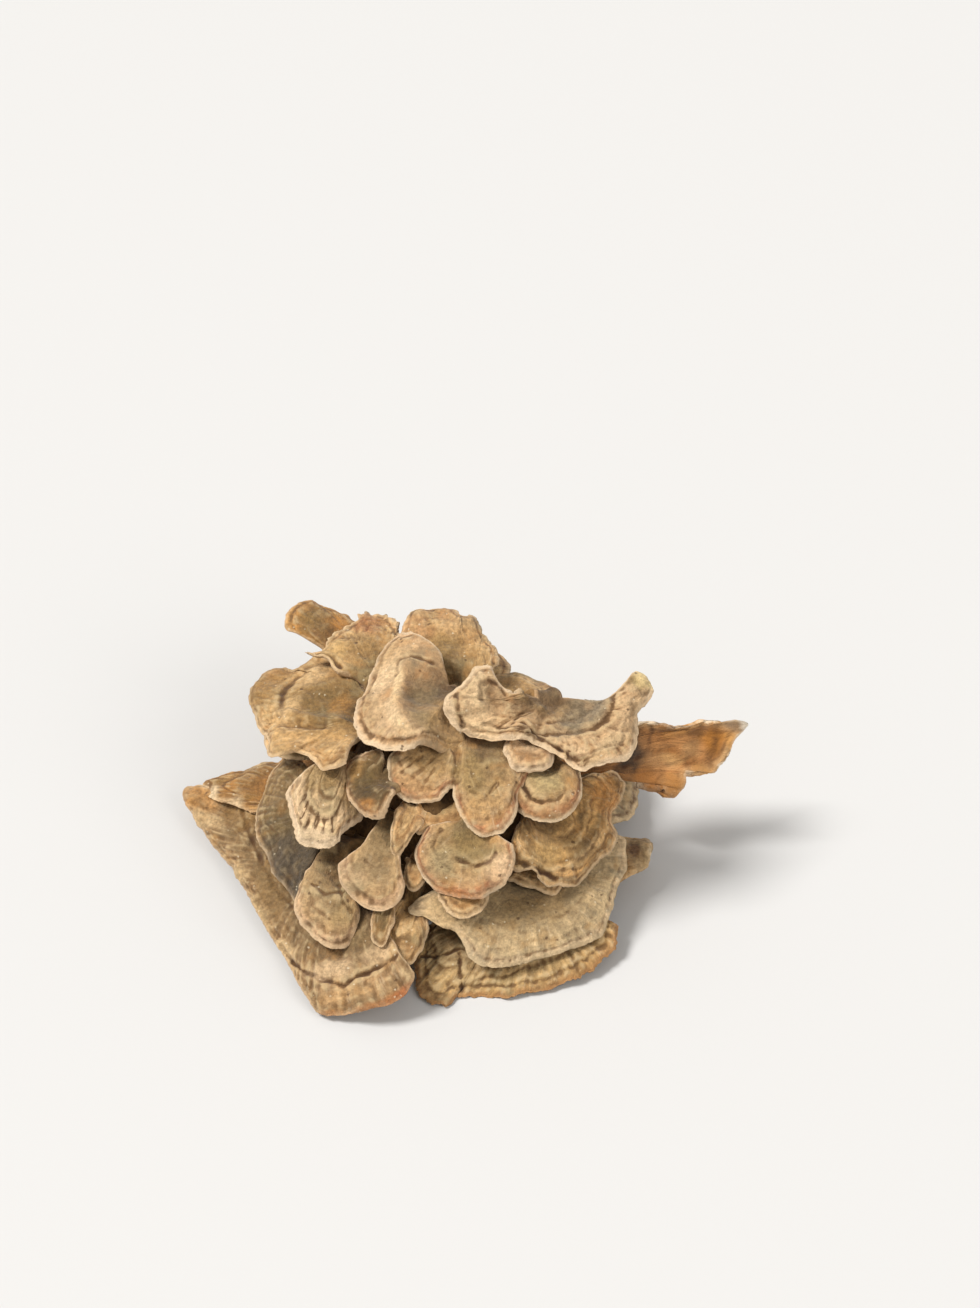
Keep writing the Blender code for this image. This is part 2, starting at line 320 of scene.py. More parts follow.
@dataclass(frozen=True)
class Finish:
    """Dry bracket flesh: matt, faintly velvety, banded in growth zones along the margin.

    Attributes:
        name: What the finish is called.
        slot: The record's material slot that it stands for. Nothing in this script reads it.
        zones: Distance from the margin in mm, and the colour there.
        lip: Colour of the thin pale edge.
        lip_width: How wide that edge is, in mm.
        blotch: Colour of the broad cloudy patches.
        stain: Colour of the smaller warm stains.
        under: Colour of the pore side.
        under_edge: Colour of the pore side next to the margin.
        band: How strongly fine growth bands show, 1 for plainly.
        streak: How strongly radial fibres show, 1 for plainly.
        wander: How far the zones wander from the margin's line, 0 to 1.
        line: Colour in the growth lines and cracks.
    """

    name: str
    slot: Slot = Slot.TAN
    zones: tuple[tuple[float, str], ...] = ()
    lip: str = "#DEBE94"
    lip_width: float = 0.8
    blotch: str = "#8E7A54"
    stain: str = "#BB8A50"
    under: str = "#9A7547"
    under_edge: str = "#CDAE82"
    band: float = 0.5
    streak: float = 0.5
    wander: float = 1.0
    line: str = "#4E321C"

    # How far in from the margin the zones' colours reach, in mm
    SPAN = 32.0
    # Width in mm of each cloudy pattern and how many finer ones ride on it. The grain is drawn
    # coarser than that of real flesh, so that it shows
    CLOUDS = {
        "wander": (8.3333, 3.0),
        "mottle": (4.16667, 5.0),
        "speckle": (1.11111, 3.0),
        "grime": (3.22581, 6.0),
        "blotches": (11.7647, 4.0),
        "stains": (6.66667, 5.0),
        "fray": (2.63158, 4.0),
        "grain": (0.416667, 2.0),
    }
    # Of each drawn-out pattern, the distance from the margin that it follows, its length in mm
    # along the margin and towards it, the layer of noise that it is cut from, and how many finer
    # ones ride on it
    GRAINS = {
        "bands": ("wandered", 14.2857, 2.22222, 0.0, 4.0),
        "fibres": ("zone", 2.38095, 16.6667, 5.0, 4.0),
        "scuffs": ("zone", 2.0, 7.69231, 9.0, 5.0),
    }
    GRIME = "#80603C"
    SCUFF = "#E4CCA8"
    # Painted shade for the relief's hollows, and a painted highlight for its crests
    HOLLOW_SHADE = "#6E4F2E"
    CREST_HIGHLIGHT = "#E3C594"
    DARK_SPECK = "#4E3520"
    PALE_DUST = "#EBDAB8"

    @property
    def lip_span(self) -> Span:
        """Give how far in from the edge the lip begins and shows in full, in mm."""
        return self.lip_width * 1.4, self.lip_width * 0.2

    def material(self) -> bpy.types.Material:
        """Build the finish as a node material.

        Returns:
            The material, which reads the growth, marks and tint attributes of a cap's mesh.
        """
        paint = Shading(self.name)
        seen = self.look(paint)
        sides = {paint.BELOW: self.flesh(paint, seen), paint.ABOVE: self.pore_side(paint, seen)}
        colour = paint.add("Mix", {paint.SHARE: seen["under"], **sides}).outputs[paint.MIXED]
        # The grain lies on the coarser patterns, each with its own height
        relief = seen["grain"]
        for name, height in (("mottle", 1.2), ("fibres", 0.8), ("bands", 1.0), ("speckle", 0.8)):
            relief = paint.add("Math", [seen[name], height, relief], operation="MULTIPLY_ADD")
        return paint.surface(colour, relief, 0.75, 0.5, 0.88, velvet=0.12)

    def look(self, paint: Shading) -> dict[str, Any]:
        """Look up what the two sides of a cap are coloured by.

        Args:
            paint: The material.

        Returns:
            By name, what the mesh holds for each point and the value of each pattern there.
        """
        seen: dict[str, Any] = {"place": paint.add("TexCoord").outputs["Object"]}
        held = {"growth": ("arc", "zone", "edge"), "marks": ("line", "cavity", "under")}
        for attribute, names in held.items():
            vector = paint.add("Attribute", attribute_name=attribute).outputs["Vector"]
            seen.update(zip(names, paint.add("SeparateXYZ", [vector]).outputs))
        seen["tint"] = paint.add("Attribute", attribute_name="tint")
        for name, (width, detail) in self.CLOUDS.items():
            clouds = {"Vector": seen["place"], "Scale": 1 / (width * MM), "Detail": detail}
            seen[name] = paint.add("TexNoise", {**clouds, "Roughness": paint.NOISE_ROUGHNESS})
        # The zones wander from the margin's line, hardly at all beside it
        sway = [seen["wander"], 9.0 * self.wander, -4.5 * self.wander]
        ease = paint.add("MapRange", [seen["zone"], 0.5, 6.0, 0.08, 1.0])
        shift = paint.add("Math", [paint.add("Math", sway, operation="MULTIPLY_ADD"), ease])
        seen["wandered"] = paint.add("Math", [seen["zone"], shift], operation="ADD")
        for name, (depth, along, inward, layer, detail) in self.GRAINS.items():
            lengthwise = paint.add("Math", [seen["arc"], 1 / along])
            spot = [lengthwise, paint.add("Math", [seen[depth], 1 / inward]), layer]
            drawn_out = {"Vector": paint.add("CombineXYZ", spot), "Scale": 1.0, "Detail": detail}
            seen[name] = paint.add("TexNoise", {**drawn_out, "Roughness": paint.NOISE_ROUGHNESS})
        # The thin pale edge is uneven over about 3 mm
        fray = paint.add("Math", [seen["fray"], 2.6, -1.3], operation="MULTIPLY_ADD")
        seen["frayed"] = paint.add("Math", [seen["edge"], fray], operation="ADD")
        # The cap's own patches are mottled like the flesh around them
        broken = paint.add("MapRange", [seen["mottle"], 0.3, 0.6, 0.6, 1.0])
        seen["patched"] = paint.add("Math", [seen["tint"].outputs["Alpha"], broken])
        return seen

    def flesh(self, paint: Shading, seen: Mapping[str, Any]) -> bpy.types.NodeSocket:
        """Colour the upper side, from its zones outwards to the dust on it.

        Args:
            paint: The material.
            seen: What it is coloured by.

        Returns:
            The upper side's colour.
        """
        colour: Any = self.zone_colour(paint, seen["wandered"])
        # Fine growth bands about 2 mm apart that run along the margin
        gains = (1 - 0.36 * self.band, 1 + 0.26 * self.band)
        colour = paint.tone(colour, seen["bands"], (0.32, 0.68), gains)
        # Soft radial fibres about 2.4 mm apart at the margin, fainter towards the root
        outer = paint.add("MapRange", [seen["zone"], 16.0, 5.0, 0.15, 1.0])
        faded = paint.add("Math", [seen["fibres"], 0.5], operation="SUBTRACT")
        faded = paint.add("Math", [faded, outer, 0.5], operation="MULTIPLY_ADD")
        gains = (1 - 0.30 * self.streak, 1 + 0.22 * self.streak)
        colour = paint.tone(colour, faded, (0.32, 0.68), gains)
        # Mottling of about 4 mm and 1 mm that lightens and darkens the flesh
        colour = paint.tone(colour, seen["mottle"], (0.36, 0.64), (0.82, 1.13))
        colour = paint.tone(colour, seen["speckle"], (0.36, 0.64), (0.84, 1.16))
        # Brown grime of about 3 mm, and pale radial scuffs 2 mm apart
        colour = paint.coat(colour, self.GRIME, seen["grime"], (0.54, 0.70), 0.22)
        scuffed = paint.add("Math", [outer, 0.42])
        colour = paint.coat(colour, self.SCUFF, seen["scuffs"], (0.54, 0.72), scuffed)
        # Browner and darker towards the root, partly as the older flesh is and partly as painted shade where
        # the caps above overlap it
        colour = paint.tone(colour, seen["zone"], (8.0, 30.0), (1.0, 0.68))
        # Broad dull clouds of about 12 mm and warmer stains of about 7 mm
        colour = paint.coat(colour, self.blotch, seen["blotches"], (0.50, 0.66), 0.7)
        colour = paint.coat(colour, self.stain, seen["stains"], (0.52, 0.70), 0.55)
        # Painted shade in the hollows, a painted highlight on the crests, and dark growth lines and cracks
        colour = paint.coat(colour, self.HOLLOW_SHADE, seen["cavity"], (0.0, 0.8), 0.8)
        colour = paint.coat(colour, self.CREST_HIGHLIGHT, seen["cavity"], (0.0, -0.8), 0.45)
        drawn = {paint.SHARE: seen["line"], paint.BELOW: colour, paint.ABOVE: linear(self.line)}
        colour = paint.add("Mix", drawn).outputs[paint.MIXED]
        colour = paint.coat(colour, self.lip, seen["frayed"], self.lip_span, 0.75)
        # The cap's own patches, gritty like the flesh around them
        grit = paint.add("MapRange", [seen["speckle"], 0.34, 0.66, 0.0, 1.0])
        gritty = paint.tone(seen["tint"], grit, (0.0, 1.0), (0.80, 1.22))
        laid = {paint.SHARE: seen["patched"], paint.BELOW: colour, paint.ABOVE: gritty}
        colour = paint.add("Mix", laid).outputs[paint.MIXED]
        # Dark specks about 0.9 mm across, and paler dust of about 0.5 mm
        colour = paint.specks(seen["place"], colour, self.DARK_SPECK, 2.63158, 0.7)
        return paint.specks(seen["place"], colour, self.PALE_DUST, 1.6129, 0.5)

    def pore_side(self, paint: Shading, seen: Mapping[str, Any]) -> bpy.types.NodeSocket:
        """Colour the pore side, paler beside the margin.

        Args:
            paint: The material.
            seen: What it is coloured by.

        Returns:
            The pore side's colour.
        """
        colour: Any = paint.coat(linear(self.under_edge), self.under, seen["zone"], (0.5, 6.0), 1.0)
        gains = (1 - 0.4 * self.streak, 1 + 0.2 * self.streak)
        colour = paint.tone(colour, seen["fibres"], (0.25, 0.75), gains)
        gains = (1 - 0.4 * self.band, 1 + 0.2 * self.band)
        colour = paint.tone(colour, seen["bands"], (0.30, 0.70), gains)
        colour = paint.tone(colour, seen["mottle"], (0.36, 0.64), (0.80, 1.14))
        colour = paint.coat(colour, self.stain, seen["stains"], (0.52, 0.70), 0.55)
        colour = paint.coat(colour, self.lip, seen["frayed"], self.lip_span, 0.75)
        for share, over in (("patched", seen["tint"]), ("line", linear(self.line))):
            laid = {paint.SHARE: seen[share], paint.BELOW: colour, paint.ABOVE: over}
            colour = paint.add("Mix", laid).outputs[paint.MIXED]
        return colour

    def zone_colour(self, paint: Shading, distance: Any) -> bpy.types.Node:
        """Colour the growth zones.

        Args:
            paint: The material.
            distance: The distance from the margin, in mm.

        Returns:
            A node that gives the zones' colour.
        """
        node = paint.add("ValToRGB", [paint.add("Math", [distance, self.SPAN], operation="DIVIDE")])
        elements = node.color_ramp.elements
        while len(elements) < len(self.zones):
            elements.new(0.5)
        for element, (where, _) in zip(elements, self.zones):
            element.position = where / self.SPAN
        for element, (_, colour) in zip(elements, self.zones):
            element.color = linear(colour)
        return node


# Tan: the plain dried flesh, which reads as warm straw with a brown ring inside its pale margin
TAN = Finish(
    "dried_flesh_tan",
    zones=((0, "#DDB988"), (2.2, "#CFA572"), (3.4, "#B08352"), (6, "#CDA570"), (11, "#BC935E"),
           (18, "#A07C4A"), (30, "#7E5F38")),
)
# Cream: the youngest flesh, palest and pinkish, which makes the crown stand out
CREAM = replace(
    TAN, name="dried_flesh_cream",
    zones=((0, "#E4C49C"), (2.4, "#D0A87C"), (3.6, "#AE8458"), (6, "#D3AF84"), (12, "#C29C70"),
           (20, "#A2805A"), (30, "#86694A")),
    lip="#E9CCA6", lip_width=1.2, blotch="#927A5A", stain="#C4905C", band=0.35,
)
# Brown: old flesh that has darkened, so that only its pale lip catches the light
BROWN = replace(
    TAN, name="dried_flesh_brown",
    zones=((0, "#DDB88E"), (2.0, "#BE9264"), (3.2, "#7E5C38"), (7, "#7A5E38"), (14, "#664E30"),
           (30, "#503A24")),
    lip="#E2C299", lip_width=1.4, blotch="#5E4C30", stain="#A87440", wander=0.5,
)
# Shell: strongly banded cream and grey-brown, like the outside of a scallop
SHELL = replace(
    CREAM, name="shell_flesh",
    zones=((0, "#ECD2AE"), (2, "#DEBE98"), (3.4, "#C09A70"), (5, "#DDBC92"), (8, "#CEAC82"),
           (9.6, "#987C58"), (12, "#D2B082"), (14.5, "#A68860"), (17, "#B08E60"), (30, "#7E6444")),
    blotch="#9A8862", stain="#C89E6E", band=1.1, streak=0.9, wander=0.35,
)
# Olive: flesh with a greenish-grey bloom, dull beside the tan
OLIVE = replace(
    TAN, name="dried_flesh_olive",
    zones=((0, "#CCA87C"), (1.8, "#A88458"), (3.2, "#866A42"), (8, "#826A44"), (16, "#745E3C"),
           (30, "#5E4A2E")),
    blotch="#6A5C42", stain="#9E7442", band=0.4, streak=0.5,
)
# Grey: smoother, felted flesh with faint radial streaks and hardly any zones
GREY = replace(
    TAN, name="dried_flesh_grey", slot=Slot.GREY,
    zones=((0, "#E0C296"), (1.8, "#CCAE86"), (4, "#C2A67C"), (12, "#B89C72"), (22, "#AC9066"),
           (30, "#967A54")),
    lip="#D6BA90", blotch="#92846A", stain="#BA905A", band=0.35, streak=0.8,
)
# Orange: flesh that dried resinous and foxed, which glows where the light grazes it
ORANGE = replace(
    TAN, name="dried_flesh_orange", slot=Slot.ORANGE,
    zones=((0, "#CFA067"), (1.5, "#BE8C50"), (5, "#AE7E46"), (12, "#986C3E"), (24, "#785634"),
           (30, "#62462A")),
    lip="#D8B080", blotch="#92703C", stain="#C98A42", streak=0.6,
)
# Silk: a pore side worn smooth, which looks like orange silk with a pale torn hem
SILK = replace(
    ORANGE, name="silky_pore_side",
    under="#BE8650", under_edge="#DCAE78", lip="#F1DDBE", lip_width=0.5, stain="#A86A2E", streak=0.3,
    band=0.9,
)
# Rust: fibrous flesh whose margin has rusted, so that the edge draws a red-brown line
RUST = replace(
    OLIVE, name="rust_edged_flesh", slot=Slot.TAN,
    zones=((0, "#A8622E"), (1.8, "#B07A44"), (3.2, "#BC945C"), (8, "#BC9862"), (12, "#AA8752"),
           (20, "#987646"), (30, "#745A36")),
    lip="#B06830", lip_width=0.7, blotch="#927A46", stain="#C29150", streak=1.0,
)
# Streaked: the longest flesh, split into soft radial fibres from root to margin
STREAKED = replace(
    RUST, name="streaked_flesh",
    zones=((0, "#B49066"), (2.5, "#9E7C54"), (5, "#AE8A60"), (9, "#AA865C"), (14, "#92744E"),
           (22, "#806444"), (30, "#665036")),
    lip="#D0AE84", blotch="#8C7350", stain="#BC8C54", streak=1.5,
)
# Banded: crowded growth zones, straw and brown in turn like the rings of a plank
BANDED = replace(
    TAN, name="banded_flesh",
    zones=((0, "#DEB684"), (1.6, "#D2A670"), (2.4, "#8A6238"), (3.6, "#CC9C62"), (6, "#DDB27A"),
           (7.4, "#8E6A3E"), (9, "#CFA266"), (12, "#9C7646"), (14, "#D0A266"), (17, "#94703F"),
           (20, "#BC9058"), (25, "#8A683E"), (30, "#74552F")),
    blotch="#9C7C50", stain="#C48A48", band=1.4, wander=0.3,
)
# Rust and orange: shaded flesh, straw with an amber margin
RUST_ORANGE = replace(
    RUST, name="rust_edged_orange", slot=Slot.ORANGE,
    zones=((0, "#B48452"), (1.6, "#B48A58"), (3.2, "#B8925E"), (8, "#B89664"), (13, "#A5855A"),
           (20, "#917248"), (30, "#705634")),
    lip="#B88654", blotch="#94805A", stain="#BE9258", streak=1.0,
)
# Corner: the driest flesh, an even leathery brown with short fibres
CORNER = replace(
    ORANGE, name="corner_flesh",
    zones=((0, "#BE925E"), (2, "#A67A48"), (6, "#A67C4A"), (14, "#8E693C"), (30, "#5C4228")),
    streak=0.8,
)
# Rose: tan flesh with a reddish ring just inside its cream lip
ROSE = replace(
    TAN, name="rose_zoned_flesh",
    zones=((0, "#DEC098"), (1.3, "#CEA076"), (2.4, "#B47A52"), (3.6, "#C09466"), (6, "#C09A6C"),
           (10, "#AC8A5C"), (16, "#967850"), (30, "#765A3A")),
    lip="#E4C8A2", lip_width=0.9,
)
# Pink lip: smooth grey-tan flesh in a broad pinkish hem
PINK_LIPPED = replace(
    TAN, name="pink_lipped_flesh",
    zones=((0, "#DCB88E"), (2.8, "#CFA67C"), (3.8, "#A8845A"), (6, "#B8966A"), (12, "#A5875E"),
           (20, "#90754E"), (30, "#7A6040")),
    lip="#DDBC94", lip_width=1.0, blotch="#8C7A58", stain="#B88E5C", band=0.2, streak=0.4,
)


@dataclass(frozen=True)
class Stroke:
    """A crack, fold or crease drawn on a cap through (bearing, reach) points from its root.

    Attributes:
        points: Bearings in degrees to the right of the line to the tip, and reaches in mm.
        width: Half the width of the stroke, in mm.
        height: How far the surface rises along it, in mm, or sinks if it is negative.
        stain: How dark it is, 0 to 1.
        bend: Whether the whole sheet bends there, and not only its top.
    """

    points: tuple[Polar, ...]
    width: float = 0.5
    height: float = -0.5
    stain: float = 0.8
    bend: bool = False


@dataclass(frozen=True)
class Patch:
    """A cloud of another colour on a cap.

    Attributes:
        where: Bearing in degrees and reach in mm of its middle, from the cap's root.
        size: Its radius along and across the line from the root, in mm.
        colour: Its colour.
        strength: How much of the colour shows in its middle, 0 to 1.
        rise: How far the sheet bulges up there, in mm.
    """

    where: Polar
    size: Span
    colour: str
    strength: float = 0.8
    rise: float = 0.0


@dataclass(frozen=True)
class Cap:
    """One cap of the cluster: the sizes of its solid, and the relief and finish on it.

    Attributes:
        name: The node that it stands for.
        root: Where the stalk ends and the fan begins.
        tip: A point ahead of the root that sets the fan's slope.
        margin: Bearing in degrees to the right, reach in mm and upward curl in mm of each knot.
        finish: Its finish.
        dome: Height of the fan's crown above its chord.
        ruffles: Number of waves round the margin.
        ruffle: Their height.
        roll: Turn about the line from root to tip, in degrees.
        neck: Width of the stalk where the fan begins.
        thick: Thickness at the root.
        thin: Thickness at the margin.
        lip: Width of the outermost growth zone.
        steps: Distance from the margin of each growth step, its drop and how dark its line is.
        lip_drop: Drop of the step behind the lip.
        lip_line: How dark the line behind the lip is, 0 to 1.
        wrinkle: Height of the radial wrinkles.
        wrinkle_gap: Distance between them at the margin.
        ring: Height of the fine concentric wrinkles.
        lump: Height of the broad lumps.
        scallop: How far the margin wanders in and out.
        teeth: How far its fine teeth stick out.
        ripple: Height of its small waves.
        curl: How far the edge turns down.
        bows: How far the right and the left side bow inwards half-way along.
        strokes: Cracks, folds and creases.
        patches: Clouds of colour.
    """

    name: str
    root: Point
    tip: Point
    margin: Margin
    finish: Finish = TAN
    dome: float = 2.0
    ruffles: int = 0
    ruffle: float = 0.0
    roll: float = 0.0
    neck: float = 7.0
    thick: float = 3.0
    thin: float = 1.2
    lip: float = 2.2
    steps: tuple[tuple[float, float, float], ...] = ((7.5, 0.3, 0.3),)
    lip_drop: float = 0.3
    lip_line: float = 0.55
    wrinkle: float = 0.14
    wrinkle_gap: float = 4.0
    ring: float = 0.07
    lump: float = 1.0
    scallop: float = 0.7
    teeth: float = 0.2
    ripple: float = 0.7
    curl: float = 0.7
    bows: Span = (0.0, 0.0)
    strokes: tuple[Stroke, ...] = ()
    patches: tuple[Patch, ...] = ()


def round_margin(
    reach: float, width: float, necked: float = 0.8, sweep: float = 118.0, knots: int = 9
) -> Margin:
    """Give the margin of a plain round cap, an arc of an ellipse.

    Args:
        reach: Distance from the root to the tip of the margin.
        width: Its greatest width.
        necked: How much the cap narrows towards its root.
        sweep: How far round the ellipse the arc runs to each side, in degrees.
        knots: How many points it has.

    Returns:
        The margin's knots.
    """
    half_depth = reach / (1 + necked)
    margin = []
    for knot in range(knots):
        turn = math.radians(sweep) * (1 - 2 * knot / (knots - 1))
        along = reach - half_depth + half_depth * math.cos(turn)
        across = 0.5 * width * math.sin(turn)
        margin.append((math.degrees(math.atan2(across, along)), math.hypot(along, across), 0.0))
    return tuple(margin)


@dataclass
class SheetGrid:
    """What is known of every point of a sheet, by row and column.

    Attributes:
        place: Its place on the smooth sheet.
        flat: Its coordinates in the cap's plane.
        arc: How far along the margin it lies.
        zone: Its distance from the margin, counted along the fan's rays further in.
        edge: Its plain distance from the margin.
        rim: Its distance from the margin or a side.
        fan: 0 on the stalk and 1 out on the fan.
        outer: 0 near the root, where the fan's rays meet, and 1 at the margin.
        square: 1 where the rays meet the margin squarely, and 0 where they graze it.
    """

    place: np.ndarray
    flat: np.ndarray
    arc: np.ndarray
    zone: np.ndarray
    edge: np.ndarray
    rim: np.ndarray
    fan: np.ndarray
    outer: np.ndarray
    square: np.ndarray


class CapSheet:
    """Builds one cap's closed mesh, with the attributes that its finish reads."""

    # The finest grid, and the length of the stalk's cells in mm
    MOST_COLUMNS = 230
    MOST_ROWS = 110
    STALK_CELL = 0.9
    # How far in from its edge the sheet is rounded, and the height of the pore side's folds, in mm
    ROUNDING = 1.2
    PORE_FOLDS = 0.12
    MARGIN_SAMPLES = 400
    # The sine of the least angle at which a ray may meet the margin
    LEAST_CROSSING = 0.3
    # How far the neck's ends turn from straight ahead, in degrees
    MOST_TURN = 80.0
    # The share of the margin at each end over which its raggedness fades out
    CALM_END = 0.06

    def __init__(self, cap: Cap, seed: int, foot: "WoodyBase", cell: float) -> None:
        """Keep what the cap is made from.

        Args:
            cap: The cap's sizes.
            seed: Makes its noise unlike its neighbours'.
            foot: The base that it grows from.
            cell: Width of the mesh's cells, in mm.
        """
        self.cap = cap
        self.cell = cell
        self.noise = LatticeNoise(seed)
        self.foot = foot
        self.forward, self.right, self.up = self.axes()
        self.root = np.array(cap.root, dtype=float)

    def axes(self) -> tuple[np.ndarray, np.ndarray, np.ndarray]:
        """Find which way the cap lies, as its solid does.

        Returns:
            Its forward, right and up directions.
        """
        forward = (Vector(self.cap.tip) - Vector(self.cap.root)).normalized()
        level = (Vector((0, 0, 1)) - forward * forward.z).normalized()
        right = forward.cross(level)
        roll = math.radians(self.cap.roll)
        up = level * math.cos(roll) + right * math.sin(roll)
        return np.array(forward), np.array(forward.cross(up)), np.array(up)

    def margin_curve(self, samples: int) -> np.ndarray:
        """Follow a smooth curve through the margin's knots.

        Args:
            samples: How many equal shares of its length to step.

        Returns:
            Along, across and lift of each point, in mm.
        """
        knots = [Vector((*polar(bearing, reach), lift)) for bearing, reach, lift in self.cap.margin]
        spans = [(there - here).length for here, there in zip(knots, knots[1:])]
        total = sum(spans)
        curve = []
        for sample in range(samples + 1):
            left = total * sample / samples
            span = 0
            while span < len(spans) - 1 and left > spans[span]:
                left -= spans[span]
                span += 1
            here, there = knots[span], knots[span + 1]
            before = knots[max(span - 1, 0)]
            after = knots[min(span + 2, len(knots) - 1)]
            t = min(left / spans[span], 1.0)
            s = 1 - t
            leave = here + (there - before) / 6
            arrive = there - (after - here) / 6
            curve.append(s**3 * here + 3 * s * s * t * leave + 3 * s * t * t * arrive + t**3 * there)
        return np.array(curve)

    def neck_line(self, shares: np.ndarray) -> np.ndarray:
        """Place the fan's first row on an arc, so that its rays leave it squarely.

        Args:
            shares: How far across the neck each point lies, 0 at its right and 1 at its left end.

        Returns:
            Along and across of each point, in mm.
        """
        first, last = (np.clip(self.cap.margin[end][0], -self.MOST_TURN, self.MOST_TURN) for end in (0, -1))
        turn = np.radians(first + (last - first) * shares)
        radius = self.cap.neck / (math.sin(math.radians(first)) - math.sin(math.radians(last)))
        return radius * np.stack([np.cos(turn) - np.cos(turn[[0, -1]]).min(), np.sin(turn)], axis=-1)

    def open_margin(self) -> np.ndarray:
        """Trim the margin where it runs along the fan's rays, and keep the rays in order.

        Returns:
            A dense margin, one point for each ray from the neck.
        """
        curve = self.margin_curve(self.MARGIN_SAMPLES)
        neck = self.neck_line(np.linspace(0, 1, len(curve)))
        ray = curve[:, :2] - neck
        reach = np.linalg.norm(ray, axis=1)
        angle = np.arctan2(ray[:, 1], ray[:, 0])
        tangent = unit(np.gradient(curve[:, :2], axis=0))
        crossing = (ray[:, 0] * tangent[:, 1] - ray[:, 1] * tangent[:, 0]) / reach
        across = np.flatnonzero(-crossing > self.LEAST_CROSSING)
        third = len(curve) // 3
        start = max(int(across[0]), int(np.argmax(angle[:third])))
        stop = min(int(across[-1]), len(curve) - 1 - int(np.argmin(angle[::-1][:third])))
        kept = slice(start, stop + 1)
        angle = np.minimum.accumulate(angle[kept] - np.arange(stop + 1 - start) * 1e-6)
        opened = curve[kept].copy()
        opened[:, :2] = neck[kept] + reach[kept, None] * np.stack([np.cos(angle), np.sin(angle)], axis=1)
        return opened

    @staticmethod
    def even(curve: np.ndarray, columns: int) -> tuple[np.ndarray, np.ndarray]:
        """Space a curve's points evenly.

        Args:
            curve: The curve's points.
            columns: How many equal steps it gets.

        Returns:
            The new points, and how far along the curve each lies.
        """
        steps = np.linalg.norm(np.diff(curve[:, :2], axis=0), axis=1)
        along = np.concatenate([[0.0], np.cumsum(steps)])
        arc = np.linspace(0, along[-1], columns + 1)
        return np.stack([np.interp(arc, along, curve[:, i]) for i in range(3)], axis=1), arc

    def ragged(self, margin: np.ndarray, arc: np.ndarray) -> np.ndarray:
        """Move the margin in and out of its smooth line, less towards the cap's two sides.

        Args:
            margin: The smooth margin's points.
            arc: How far along it each lies, in mm.

        Returns:
            The moved points.
        """
        cap = self.cap
        along = unit(np.gradient(margin[:, :2], axis=0))
        outward = np.stack([-along[:, 1], along[:, 0]], axis=1)
        # Scallops 6.5 mm and 2.4 mm long, and teeth 0.9 mm long
        sway = cap.scallop * self.noise(arc / 6.5, 0.2) + 0.45 * cap.scallop * self.noise(arc / 2.4, 4.1)
        sway += cap.teeth * self.noise(arc / 0.9, 8.3)
        share = np.linspace(0, 1, len(arc))
        ends = smoothstep(0.0, self.CALM_END, share) * smoothstep(1.0, 1 - self.CALM_END, share)
        moved = margin.copy()
        moved[:, :2] += outward * (sway * ends)[:, None]
        return moved

    @staticmethod
    def widest(values: np.ndarray, size: int) -> np.ndarray:
        """Give the greatest value within some places to each side."""
        padded = np.pad(values, size, mode="edge")
        return np.lib.stride_tricks.sliding_window_view(padded, 2 * size + 1).max(axis=1)

    @staticmethod
    def smoothed(values: np.ndarray, size: int) -> np.ndarray:
        """Average each value with some to each side."""
        padded = np.pad(values, size, mode="edge")
        return np.lib.stride_tricks.sliding_window_view(padded, 2 * size + 1).mean(axis=1)

    @staticmethod
    def distance(points: np.ndarray, line: np.ndarray) -> np.ndarray:
        """Give each flat point's distance to a polyline.

        Args:
            points: Points in the cap's plane, with the two coordinates last.
            line: The polyline's corners.

        Returns:
            The distances, in mm.
        """
        best = np.full(points.shape[:-1], 1e9)
        for here, there in zip(line, line[1:]):
            span = there - here
            share = np.clip(((points - here) @ span) / max(float(span @ span), 1e-9), 0, 1)
            gap = points - here - share[..., None] * span
            best = np.minimum(best, np.einsum("...i,...i", gap, gap))
        return np.sqrt(best)

    def stalk_line(self, rows: int) -> np.ndarray:
        """Follow the middle of the stalk from inside the base to the cap's root.

        Args:
            rows: How many steps the stalk gets.

        Returns:
            The points on its middle.
        """
        root = Vector(self.cap.root)
        foot = self.foot.inside(root)
        length = (root - foot).length
        arrive = root - Vector(self.forward) * 0.4 * length
        return np.array(interpolate_bezier(foot, foot.lerp(root, 0.35), arrive, root, rows + 1))

    def build(self) -> bpy.types.Object:
        """Make the cap's mesh and dress it.

        Returns:
            The finished object, which stands for its node.
        """
        cap = self.cap
        outline = self.open_margin()
        length = float(np.linalg.norm(np.diff(outline, axis=0), axis=1).sum())
        reach = float(np.mean(np.linalg.norm(outline[:, :2], axis=1)))
        columns = int(np.clip(length / self.cell, 24, self.MOST_COLUMNS))
        rows = int(np.clip(reach / self.cell, 20, self.MOST_ROWS))
        stalk_length = (Vector(cap.root) - self.foot.inside(Vector(cap.root))).length
        stalk_rows = int(np.clip(stalk_length / self.STALK_CELL, 4, 24))

        # The smooth sheet: rows from the neck to the margin, between sides that bow and sway
        margin, arc_line = self.even(outline, columns)
        margin = self.ragged(margin, arc_line)
        u = np.linspace(0, 1, columns + 1)
        v = np.concatenate([np.zeros(stalk_rows), np.linspace(0, 1, rows + 1)])[:, None]
        neck = self.neck_line(u)
        reach_line = np.linalg.norm(margin[:, :2] - neck, axis=1)
        wide = self.smoothed(self.widest(reach_line, columns // 9), columns // 12)
        share = v * np.minimum(reach_line / wide, 1.0)[None]
        flat = neck[None] * (1 - v[..., None]) + margin[None, :, :2] * v[..., None]
        flat = self.bowed(flat, u, v)
        height = margin[None, :, 2] * v + cap.dome * np.sin(math.pi * share**0.85)
        height = height + cap.ruffle * share**2 * np.sin(2 * math.pi * cap.ruffles * u)[None]
        place = self.root + self.forward * flat[..., :1] + self.right * flat[..., 1:]
        place = place + self.up * height[..., None]
